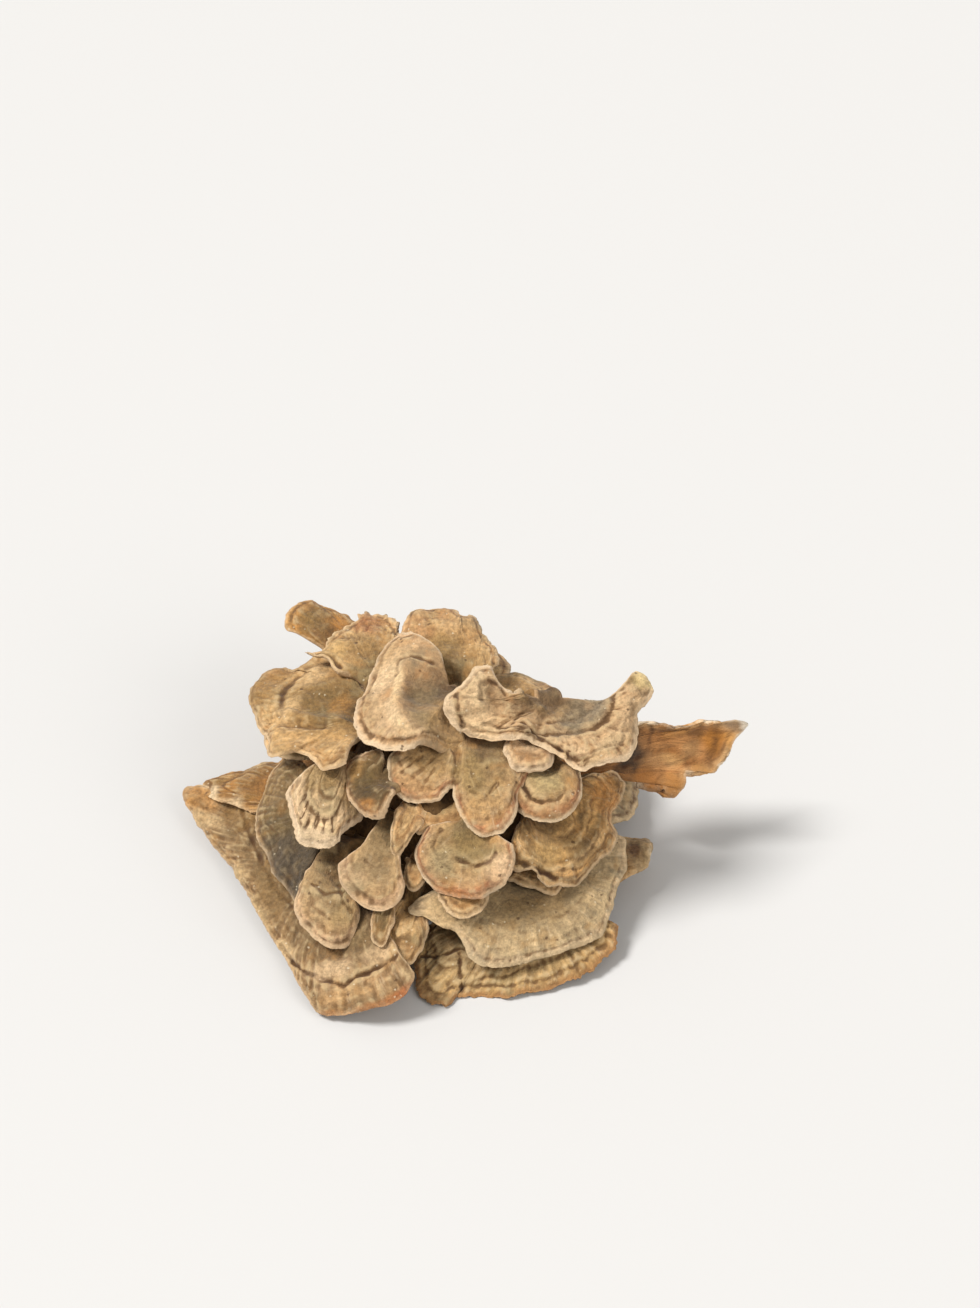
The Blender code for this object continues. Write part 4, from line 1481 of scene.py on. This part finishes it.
MIDDLE = Tier("middle tier", (
    Cap("left_corner_cap", (-39, -1, 18), (-72, 14, 12),
        ((45, 19, 0), (32, 27, 0), (24, 28, 0), (16, 30, 0), (10, 35, 0), (5, 38, 0), (0, 38, 0),
         (-8, 34, 0), (-15, 26, 0), (-36, 14, 0)),
        finish=CORNER, dome=1.0, wrinkle=0.25,
        patches=(Patch((-10, 32.5), (2.5, 5), "#E2C8A0", 0.8), Patch((-17, 25), (4, 3), "#DCC098", 0.7),
                 Patch((26, 27), (2, 6), "#DDC096", 0.6), Patch((4, 16), (7, 6), "#B07C44", 0.6))),
    Cap("inner_left_cap", (-36, -13, 25), (-55, -14, 18),
        ((77, 28, 0), (67, 32, 0), (58, 31, 0), (47, 27, 0), (31, 24, 0), (17, 22, 0), (1, 21, 0),
         (-17, 21, -1), (-36, 22, -3), (-55, 25, -6), (-69, 29, -7), (-76, 24, -7)),
        finish=OLIVE, neck=9, wrinkle=0.45, wrinkle_gap=4.0, ring=0.2,
        patches=(Patch((-40, 16), (10, 12), "#52473A", 0.85), Patch((-66, 20), (10, 9), "#4A4034", 0.85),
                 Patch((45, 20), (10, 8), "#94764E", 0.6))),
    Cap("left_fan_cap", (-16, -23, 33.6), (-22, -46, 21.8),
        ((36, 12, 0), (38, 17, 0), (39, 20.5, 0), (31.5, 23, 0), (19, 25.4, 0), (6, 27, 0), (-5, 27.4, 0),
         (-14, 25.8, 0), (-20.5, 22, 0), (-23.5, 18.5, 0), (-23, 14, 0)),
        neck=6, finish=PINK_LIPPED, lip=3.0, lip_line=0.5, scallop=0.4, teeth=0.1, steps=(), bows=(2.2, 1.0),
        strokes=(Stroke(((18, 15.2), (8, 15.9), (-2, 15.8)), 0.3, -0.25, 0.9),),
        patches=(Patch((8, 17), (4, 6), "#8C7452", 0.5, 0.6), Patch((20, 21), (3, 5), "#C6A47C", 0.5))),
    Cap("upper_tongue_cap", (-9, -23, 38), (-11.6, -36, 30.5),
        ((62, 7.5, 0), (45, 10, 0), (32, 13, 0), (24, 15.7, 0), (18, 16.8, 0), (11, 16, 0), (6, 13.3, 0),
         (-4, 9.6, 0), (-20, 7, 0)),
        neck=6, lip=1.2, scallop=0.3),
    Cap("neck_cap", (-2, -20, 38.8), (-2.6, -27.8, 34.8),
        ((60, 10, 0), (42, 12, 0), (29, 13.5, 0), (18, 11, 0), (-7, 10.5, 0), (-33, 10.8, 0), (-51, 11.8, 0)),
        dome=0.8, neck=12, thick=1.6, lip=0.8, scallop=0.05, teeth=0.05, ripple=0.3),
    Cap("shaded_cap", (-9, -31, 26), (-11, -41, 22), round_margin(11, 8), neck=4, thick=2.0, lip=1.0,
        scallop=0.3),
    Cap("disc_cap", (6, -28, 36), (1, -45, 24), round_margin(22, 29), dome=1.6, neck=7, finish=ROSE,
        lip=1.6, lip_line=0.4, steps=(), scallop=0.5, teeth=0.12,
        patches=(Patch((-48, 16), (5, 6), "#DFBA90", 0.85), Patch((25, 14), (6, 5), "#A08C66", 0.7),
                 Patch((-5, 6), (5, 6), "#8E7446", 0.7), Patch((0, 21), (2, 9), "#C07C46", 0.7)),
        strokes=(Stroke(((10, 10.8), (4, 11.3), (-17, 12.7), (-37, 12.9), (-48, 11.5)), 0.45, -0.8, 1.0),
                 Stroke(((62, 9), (45, 13), (25, 14.5), (5, 15)), 0.4, -0.3, 0.5))),
    Cap("right_under_cap", (28, -24, 24), (25, -38, 19.5),
        ((50, 12, 0), (38, 17, 0), (26, 16, 0), (5, 15, -1), (-20, 15, -3), (-42, 11, -4)),
        dome=0.5, thick=2.0, lip=1.4),
    Cap("right_cap", (23, -16, 34), (40, -33, 20),
        ((65, 19, 0), (57, 24, 0), (43, 23, 0), (33, 26, 0), (25, 27, 0), (15, 28, 0), (4, 28, 0),
         (-7, 27, 0), (-21, 28, 0), (-31, 27, 0), (-40, 25, 0), (-51, 27, 0), (-58, 29, 0), (-66, 31, 0),
         (-73, 28, 0), (-80, 14, 0)),
        ruffles=2, ruffle=0.8, neck=8, lip=1.4, lip_line=0.3,
        finish=BANDED,
        steps=((3.8, 0.3, 0.6), (6.4, 0.3, 0.6), (10, 0.3, 0.5), (14, 0.25, 0.5)), scallop=0.8,
        patches=(Patch((-55, 22), (6, 7), "#BC8040", 0.7), Patch((28, 8), (6, 9), "#7E603A", 0.7),
                 Patch((30, 18), (4, 8), "#C9A064", 0.6)),
        strokes=(Stroke(((62, 22), (41, 22.6), (25, 25)), 0.6, -0.9, 1.0),)),
    Cap("right_wing_cap", (41, 5, 28), (84, 7, 33),
        ((34, 16, 0), (29, 19, 0), (20, 25, 0), (13.7, 33, 0), (10.8, 40, -0.5), (9, 45, -1), (6.5, 46, -1.5),
         (2, 42.2, -2), (-4, 39.5, -3), (-9, 37.4, -3.5), (-14, 35.4, -4), (-14.5, 33, -4), (-11, 29.5, -3),
         (-13, 27.8, -3), (-21.5, 28.4, -4.5), (-26.5, 27.6, -5), (-29.5, 22, -4.5), (-28, 16.5, -3),
         (-38, 12, -1)),
        finish=SILK, dome=2.5, roll=-100, neck=6, wrinkle=0.3, wrinkle_gap=6.0, scallop=0.4, lump=1.6,
        ring=0.2, bows=(0.0, -2.0),
        # Of these patches, the pale yellow-orange ones at (-9, 24), (13, 27) and (2, 40.5) are painted
        # highlights on the silky sheet
        patches=(Patch((5, 11), (6.5, 11), "#46372A", 1.0), Patch((8, 42), (3, 3), "#A08468", 0.8),
                 Patch((7, 45.5), (2, 4), "#F2E8D6", 0.9), Patch((-20, 26), (4, 4), "#DDA468", 0.8, -0.8),
                 Patch((-12, 20), (6, 3), "#CB9A66", 0.8), Patch((2, 36), (4, 5), "#B9792F", 0.8),
                 Patch((15, 23), (8, 4), "#8C5C30", 0.8), Patch((-22, 16), (3, 3), "#A06C3A", 0.6),
                 Patch((-13, 34), (3, 3), "#E0B07A", 0.7), Patch((-2, 29), (3, 3), "#D9A870", 0.6),
                 Patch((-26, 25), (4, 4), "#C98C4C", 0.95), Patch((-14, 32), (4, 3), "#CF9858", 0.9),
                 Patch((-30, 18), (6, 3), "#B87C42", 0.9), Patch((-9, 24), (4, 2.4), "#E2B070", 0.6),
                 Patch((13, 27), (6, 2.4), "#D09650", 0.6), Patch((2, 40.5), (2, 4), "#D89A50", 0.6)),
        strokes=(Stroke(((24, 20), (17, 19.2), (7, 17.2), (-3, 14.8), (-10, 11.8), (-19, 9)), 0.6, -0.6, 1.0),
                 Stroke(((12, 33), (0, 31), (-12, 29.5)), 1.6, 0.9, 0.0, bend=True),
                 Stroke(((10, 38), (-2, 35.5), (-10, 34)), 1.0, -0.7, 0.4),
                 Stroke(((-16, 29), (-8, 27), (-14, 22)), 0.5, -0.4, 0.4),
                 Stroke(((16, 24), (10, 31), (6, 38)), 0.6, -0.4, 0.3))),
))

UPPER = Tier("crown", (
    Cap("shell_cap", (-31, -5.6, 41.6), (-37, -32, 31),
        ((48, 13, 0), (46, 18, 0), (35, 21, 0), (25, 23, 0), (17, 26, 0), (12, 29, 0), (3, 29, 0),
         (-4, 29, 0), (-11, 27, -0.5), (-17, 24, -2), (-25, 21, -3.5), (-33, 19, -4.5), (-40, 13, -4)),
        finish=SHELL, dome=1.8, neck=6, lip=1.8, lip_line=0.4, ring=0.16, wrinkle=0.3,
        steps=((9.0, 0.5, 0.4), (14.0, 0.4, 0.3)), teeth=0.35, lump=0.9,
        strokes=(Stroke(((12, 19), (11, 25)), 0.3, -0.6, 0.5), Stroke(((6, 19.5), (5, 25)), 0.3, -0.6, 0.5),
                 Stroke(((0, 20), (-1, 25)), 0.3, -0.5, 0.5), Stroke(((18, 17.5), (18, 22)), 0.3, -0.5, 0.5),
                 Stroke(((-6, 20), (-7, 24)), 0.3, -0.5, 0.5), Stroke(((24, 16), (25, 20)), 0.3, -0.4, 0.4)),
        patches=(Patch((22, 9), (6, 6), "#9A7C4C", 0.7), Patch((-24, 13), (7, 4), "#98794C", 0.75),
                 Patch((4, 26), (2.5, 8), "#E2C6A0", 0.6, 0.5))),
    Cap("left_round_cap", (-17, -17.4, 43.2), (-26.8, -23.6, 37.5),
        ((88, 13, 0), (70, 15.5, 0), (57, 16, 0), (40, 15, 0), (22, 14, 0), (5, 13.4, 0), (-15, 13.4, 0),
         (-34, 13, 0), (-48, 11.3, 0), (-60, 8.2, 0), (-70, 5.4, 0)),
        neck=6, finish=BROWN, bows=(-4.0, 0.0), lip=1.9, lip_line=0.5, scallop=0.7, teeth=0.3,
        patches=(Patch((40, 7), (5, 6), "#64502E", 0.8, -0.8), Patch((10, 8), (3, 4), "#54422A", 0.8),
                 Patch((-20, 10), (2, 4), "#A87238", 0.7), Patch((62, 11), (2, 4), "#B28850", 0.6))),
    Cap("ring_cap", (27.4, -12.4, 45.3), (25.4, -29.4, 38.3), round_margin(19.6, 22.5), neck=6, finish=ROSE,
        lip=1.4, steps=(), scallop=0.6, ripple=0.9,
        strokes=(Stroke(((44, 9), (30, 11.5), (15, 13.6), (2, 14.3)), 0.55, -1.1, 1.0),
                 Stroke(((2, 14.3), (-16, 13.8), (-30, 12)), 0.5, -0.4, 0.2)),
        patches=(Patch((0, 8), (5, 6), "#B09A6C", 0.8, 1.2), Patch((-24, 16), (1.4, 5), "#94643C", 0.7),
                 Patch((22, 16.5), (1.4, 4), "#9A6C42", 0.6), Patch((3, 17.5), (1.0, 5), "#A87848", 0.6))),
    Cap("nodule_cap", (22, -9, 50), (23, -20, 47), round_margin(11.5, 15, necked=0.5), dome=1, neck=5,
        finish=CREAM, lip=1.2, scallop=1.0, ripple=1.2, steps=()),
    Cap("centre_cap", (5, -5, 49), (2, -31, 38),
        ((74, 16, 0), (69, 22, 0), (62, 25, 0), (51, 27, 0), (42, 27, 0), (35, 27, 0), (27, 25, 0),
         (18, 23, 0), (10, 18, 0), (7, 20, 0), (2, 24, 0), (-4, 28, 0), (-10, 31, 0), (-16, 32, 0),
         (-23, 32, 0), (-30, 30, 0), (-35.5, 27.5, 0), (-41, 25, -0.5), (-50, 23.5, -1.5), (-62, 22, -2.5),
         (-74, 19, -3)),
        neck=13, finish=ROSE, lip=1.3, lip_line=0.3, steps=((5.0, 0.3, 0.3),), scallop=0.5, lump=1.3,
        patches=(Patch((-8, 14), (7, 6), "#A08454", 0.7), Patch((45, 14), (5, 7), "#B08A58", 0.6, 0.6),
                 Patch((38, 22), (4, 6), "#BE9262", 0.6), Patch((-14, 24), (3, 7), "#C89C64", 0.6, 0.6)),
        strokes=(Stroke(((50, 5), (9, 10.9), (7, 16)), 1.2, -1.4, 0.3),
                 Stroke(((52, 15), (50, 22)), 0.4, -0.5, 0.35),
                 Stroke(((42, 13), (41, 19), (42, 24)), 0.4, -0.5, 0.3),
                 Stroke(((32, 15), (31, 22)), 0.4, -0.5, 0.35),
                 Stroke(((-8, 19), (-20, 21), (-32, 19)), 0.4, -0.4, 0.35),
                 Stroke(((-6, 10), (-14, 18)), 0.4, -0.4, 0.3))),
    Cap("wavy_cap", (28, 2, 56), (29, -21, 51),
        ((112, 17, 5.5), (108, 22, 5.5), (101, 23, 5), (93, 25, 5), (88, 28, 4.5), (82, 30, 4), (76, 30, 2.5),
         (69, 29, 1.5), (61, 26, 0), (53, 23, -1), (45, 20, -0.5), (37, 18, 0), (27, 16, 0), (13, 17, -1),
         (0, 20, -0.5), (-8, 23, 0), (-16, 26.5, 0), (-25, 27, 0), (-34, 28, 0), (-42, 30, 0), (-52, 30, 0),
         (-60, 27.6, 1), (-67, 26.8, 2), (-73, 27.4, 3), (-79, 28.6, 3.5), (-86, 29.4, 4), (-93, 28.4, 4.5),
         (-98, 26, 4.5), (-100, 23, 4)),
        finish=CREAM, dome=1.5, neck=6, lip=1.6, lip_line=0.5, lump=1.9, ripple=1.2, bows=(4.5, 6.0),
        steps=((4.2, 0.5, 0.5),), wrinkle=0.5, ring=0.3,
        patches=(Patch((-48, 11), (6, 10), "#83745C", 0.85, -0.8), Patch((-70, 15), (3, 6), "#877862", 0.7),
                 Patch((-68, 24), (3.5, 8), "#CDAF86", 0.7, 0.8),
                 Patch((-40, 24), (2.5, 8), "#D2B488", 0.6, 0.6),
                 Patch((-92, 27), (4, 4), "#EBD08F", 0.8), Patch((100, 22), (3, 5), "#D9BC94", 0.6),
                 Patch((78, 28.4), (1.4, 6), "#DDBF98", 0.8, 0.5),
                 Patch((85, 16.2), (3.2, 3.6), "#94724C", 0.85, -1.8), Patch((0, 4), (4, 7), "#644E34", 0.75),
                 Patch((84, 21), (4, 5), "#E2C294", 0.6, 1.4), Patch((-62, 23), (4, 7), "#B59068", 0.5),
                 Patch((62, 22), (5, 8), "#E0BE90", 0.6), Patch((30, 5), (2, 2), "#9A7E56", 0.7, 2.4),
                 Patch((-30, 6), (2, 2.5), "#A88A60", 0.7, 2.2), Patch((75, 8), (2, 2), "#94764E", 0.7, 1.6)),
        strokes=(Stroke(((80, 19.6), (90, 19), (96, 17), (93, 14), (82, 12.6)), 0.6, -0.8, 0.9),
                 Stroke(((86, 26), (76, 26.2), (67, 26.6)), 0.5, -0.9, 0.8),
                 Stroke(((40, 6), (50, 12), (46, 17)), 0.5, -0.5, 0.4),
                 Stroke(((22, 14), (-14, 13.8), (-41, 18), (-62, 19), (-84, 18.4)), 0.7, -0.8, 0.45),
                 Stroke(((6, 9), (-30, 10), (-57, 14), (-77, 15.8)), 0.5, -0.5, 0.35),
                 Stroke(((-20, 12), (-48, 15.8), (-70, 17.4)), 0.6, 0.6, 0.0),
                 Stroke(((-4, 21.5), (-22, 23), (-46, 26), (-62, 24), (-78, 24.5)), 0.5, -0.5, 0.4),
                 Stroke(((38, 13), (14, 14.5), (-4, 18.5), (-12, 20.4)), 0.4, -0.8, 0.8),
                 Stroke(((62, 21), (44, 16.5), (30, 14)), 0.5, -0.5, 0.5))),
    Cap("crown_left_cap", (1, 5, 54.5), (-27, 5, 50.5),
        ((70, 17, 2), (66, 24, 2.5), (62, 29.5, 3), (54, 30.2, 2), (43, 28.5, 1), (31, 27.3, 0.5),
         (15, 27, 0), (-2, 28.5, 0), (-14, 29.5, 0), (-25, 30, 0), (-35, 29, 0), (-45, 28, 0),
         (-53, 26, 0), (-61, 24, 0), (-68, 22, -1), (-74, 19.5, -4.5), (-81, 17.5, -9),
         (-92, 17, -11), (-104, 17, -11.5)),
        finish=CREAM, dome=3.0, ruffles=3, ruffle=0.4, neck=8, lip=2.9, lip_line=0.75, lip_drop=0.5,
        steps=(), scallop=0.6, teeth=0.25, ripple=0.4, bows=(-3.0, 0.0),
        # Of these patches, the pale cream ones on the fold's crest at (5, 15) and at (22, 20) are painted
        # highlights
        patches=(Patch((-12, 7.5), (5.5, 6), "#776548", 0.8, -1.8),
                 Patch((-58, 14), (4, 6), "#85714E", 0.7, -0.8),
                 Patch((5, 15), (2.0, 9), "#EACB9A", 0.7), Patch((-45, 20), (2.5, 5), "#E2C292", 0.6),
                 Patch((45, 23), (5, 8), "#C8A272", 0.6), Patch((-10, 23), (3, 12), "#B8966A", 0.5),
                 Patch((-88, 11), (8, 7), "#B08C5C", 0.85), Patch((-72, 20), (3, 3), "#8E6E46", 0.7),
                 Patch((22, 20), (5, 8), "#E2C499", 0.5), Patch((-28, 19), (3, 8), "#E2C499", 0.5)),
        strokes=(Stroke(((39, 16), (20, 14), (-9, 15), (-47, 21)), 2.4, 1.8, 0.0, bend=True),
                 Stroke(((25, 17), (38, 19), (50, 17), (62, 11)), 0.6, -0.8, 0.4))),
    Cap("crown_back_cap", (4, 12, 49), (-4, 45, 52),
        ((64, 14, 0), (48, 18, 0), (38, 21, 0), (31, 24.5, 0), (25, 28, 0), (19, 30, 0), (14, 29, 0),
         (11, 32, 0), (4, 34, 0), (-4, 35, 0), (-11, 35, 0), (-18, 32, 0), (-26, 28, 0), (-30, 22, 0)),
        ruffles=3, ruffle=0.6, neck=8, lump=1.6, teeth=0.4,
        patches=(Patch((-14, 25), (4, 4), "#A87850", 0.6), Patch((3, 29), (3, 3), "#B07C4C", 0.6),
                 Patch((20, 20), (4, 4), "#B08250", 0.6), Patch((0, 16), (6, 7), "#927448", 0.6),
                 Patch((-18, 28), (4, 7), "#C69868", 0.6, 1.2), Patch((8, 24), (4, 6), "#D0A878", 0.6, 1.2))),
    Cap("crown_side_cap", (15.5, 9, 45), (25, 31, 37.5), round_margin(24, 27, sweep=95), ruffles=2,
        ruffle=0.8, neck=7, lump=0.8),
    Cap("left_big_cap", (-22, 4, 45.6), (-57, 14, 40),
        ((59, 20, 0), (54, 28, 0), (50, 35, 0), (45, 37, 0), (39, 36, 0), (34, 36, 0), (34, 39, 0),
         (30, 42, 0), (25, 43, 0), (16, 42, 0), (7, 39, 0), (-2, 36, 0), (-12, 33, 0), (-22, 30, 0),
         (-31, 31, 0), (-38, 30, 0), (-42, 27, 0), (-45, 23, 0), (-56, 22, 0), (-68, 23, 0), (-77, 21, 0),
         (-82, 19, 0)),
        dome=2.4, ruffles=3, ruffle=0.8, neck=8, lip=1.3, lip_line=0.4, steps=(), wrinkle=0.25, ripple=1.0,
        lump=1.1, bows=(-3.0, 0.0), ring=0.14,
        patches=(Patch((17, 37), (5.5, 15), "#96703E", 0.8, -0.5), Patch((19, 17), (6, 6), "#7A6038", 0.75),
                 Patch((18, 10.7), (4, 5), "#A8783E", 0.7), Patch((0, 25), (4, 6), "#D6B280", 0.6, 0.6),
                 Patch((35, 27), (5, 6), "#D8B482", 0.6, 1.0), Patch((-35, 26), (5, 7), "#C79E68", 0.6)),
        strokes=(Stroke(((-4, 27), (-9, 20), (-14, 14.6), (-50, 6)), 1.8, 1.2, 0.0, bend=True),
                 Stroke(((-14, 26), (-19, 20), (-28, 14)), 1.3, -0.9, 0.25),
                 Stroke(((-22, 26), (-29, 20), (-40, 14)), 1.6, 0.9, 0.0, bend=True),
                 Stroke(((38, 31), (29, 31.7), (19, 31), (9, 28.7), (-5, 25.9)), 1.5, -0.7, 0.3),
                 Stroke(((24, 31.6), (14, 30.2), (4, 28)), 0.5, -0.4, 0.5))),
    Cap("ridge_cap", (-21, 17.5, 49), (-31, 41, 49),
        ((45, 16, 0), (43, 21, 0), (37, 25, 0), (30, 29, 0), (23, 30, 0), (15, 30, 0), (7, 27, 0),
         (-4, 24, 0), (-13, 23, 0), (-25, 23, 0), (-35, 24, 0)),
        dome=1.0, ruffles=3, ruffle=0.6, neck=7, teeth=0.9, scallop=1.6, lump=1.4,
        patches=(Patch((18, 24), (6, 5), "#A8683E", 0.6), Patch((-20, 17), (5, 5), "#C8A268", 0.6, 0.8),
                 Patch((5, 14), (6, 5), "#8E6E42", 0.6)),
        strokes=(Stroke(((-34, 20), (-33, 15), (-46, 10.8)), 0.6, -1.0, 0.8),)),
))

BACK = Tier("back tier", (
    Cap("back_left_cap", (-24, 32, 38), (-46, 53, 43),
        ((42, 18, 0), (34, 24, 0), (25, 27, 0), (20, 30, 0), (17, 33, 0), (10, 34, 0), (2, 34, 0),
         (-6, 31, 0), (-11, 28, 0), (-14, 20, 0)),
        neck=6, finish=ORANGE, patches=(Patch((5, 24), (6, 7), "#7A6238", 0.7),)),
    Cap("back_upper_cap", (0, 28, 36), (0, 52, 32), round_margin(25, 38, necked=0.5), ruffles=2, ruffle=1),
    Cap("back_middle_cap", (-12, 31, 24), (-18, 55, 19), round_margin(25, 44, necked=0.4), ruffles=3,
        ruffle=1, finish=ROSE),
    Cap("back_low_cap", (7, 32, 13), (9, 56, 5), round_margin(25, 46, necked=0.4), ruffles=2, ruffle=0.8,
        finish=OLIVE),
    Cap("back_right_cap", (28, 18, 25), (47, 31, 20), round_margin(23, 34, necked=0.4), ruffles=2,
        ruffle=1, finish=CREAM),
    Cap("right_back_low_cap", (33, 10, 13), (56, 19, 7), round_margin(24, 38, necked=0.4), ruffles=3,
        ruffle=0.8, finish=GREY),
    Cap("left_back_cap", (-33, 16, 31), (-52, 30, 27), round_margin(23, 34, necked=0.4), ruffles=2,
        ruffle=1),
    Cap("left_low_cap", (-33, 16, 12), (-53, 30, 5), round_margin(24, 40, necked=0.4), ruffles=3,
        ruffle=0.8, finish=ORANGE),
), cell=0.68)


@dataclass(frozen=True)
class Studio:
    """A pale floor, soft light from the upper left and the photograph's camera.

    Attributes:
        camera_place: The camera's position.
        yaw: How far it turns to the right, in degrees.
        pitch: How far it looks down, in degrees.
        lens: Its focal length on a sensor 36 mm along the picture's long side.
        floor_size: The floor's width, in metres.
        floor_colour: The floor's colour.
        sky_colour: The colour of the light from all around.
        sky_strength: Its strength.
    """

    camera_place: Point = (-3.0, -597.235, 612.235)
    yaw: float = 1.3919
    pitch: float = 42.0346
    lens: float = 80.0
    floor_size: float = 30.0
    floor_colour: str = "#D6D4D1"
    sky_colour: str = "#FBFAF8"
    sky_strength: float = 0.46

    def build(self) -> None:
        """Set the floor, the lights, the world and the camera."""
        self.floor()
        self.light("key", (-0.56, 0.02, 0.78), 20.0, 3.1)
        self.light("fill", (0.7, -0.6, 0.6), 40.0, 0.85)
        world = bpy.data.worlds.new("studio")
        world.use_nodes = True
        sky = world.node_tree.nodes["Background"].inputs
        sky["Color"].default_value = linear(self.sky_colour)
        sky["Strength"].default_value = self.sky_strength
        bpy.context.scene.world = world
        bpy.context.scene.view_settings.view_transform = "Standard"
        data = bpy.data.cameras.new("camera")
        data.lens = self.lens
        data.sensor_width = 36.0
        data.clip_start = 0.01
        camera = bpy.data.objects.new("camera", data)
        camera.location = Vector(self.camera_place) * MM
        camera.rotation_euler = (math.radians(90 - self.pitch), 0.0, math.radians(-self.yaw))
        bpy.context.scene.collection.objects.link(camera)
        bpy.context.scene.camera = camera

    def floor(self) -> None:
        """Lay the pale matt floor, which gives the cluster a soft shadow to sit on."""
        bpy.ops.object.select_all(action="DESELECT")
        bpy.ops.mesh.primitive_plane_add(size=self.floor_size)
        floor = bpy.context.object
        floor.name = "floor"
        material = bpy.data.materials.new("pale_floor")
        material.use_nodes = True
        shader = material.node_tree.nodes["Principled BSDF"]
        shader.inputs["Base Color"].default_value = linear(self.floor_colour)
        shader.inputs["Roughness"].default_value = 0.6
        floor.data.materials.append(material)

    @staticmethod
    def light(name: str, towards: Point, spread: float, strength: float) -> None:
        """Add a distant soft light.

        Args:
            name: What the light is called.
            towards: The direction that it comes from.
            spread: How wide it looks from the cluster, in degrees.
            strength: Its strength, in watts for each square metre.
        """
        data = bpy.data.lights.new(name, "SUN")
        data.angle = math.radians(spread)
        data.energy = strength
        lamp = bpy.data.objects.new(name, data)
        lamp.location = towards
        lamp.rotation_euler = (-Vector(towards)).to_track_quat("-Z", "Y").to_euler()
        bpy.context.scene.collection.objects.link(lamp)


def main() -> None:
    """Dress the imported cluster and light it."""
    logging.basicConfig(level=logging.INFO, format="%(message)s")
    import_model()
    foot = WoodyBase()
    foot.build()
    materials: dict[Finish, bpy.types.Material] = {}
    total = 0
    for number, tier in enumerate((FRONT, MIDDLE, UPPER, BACK)):
        total += tier.build(foot, materials, 100 * (number + 1))
    LOG.info("caps: %d triangles", total)
    Studio().build()
    bpy.context.view_layer.update()


if __name__ == "__main__":
    main()
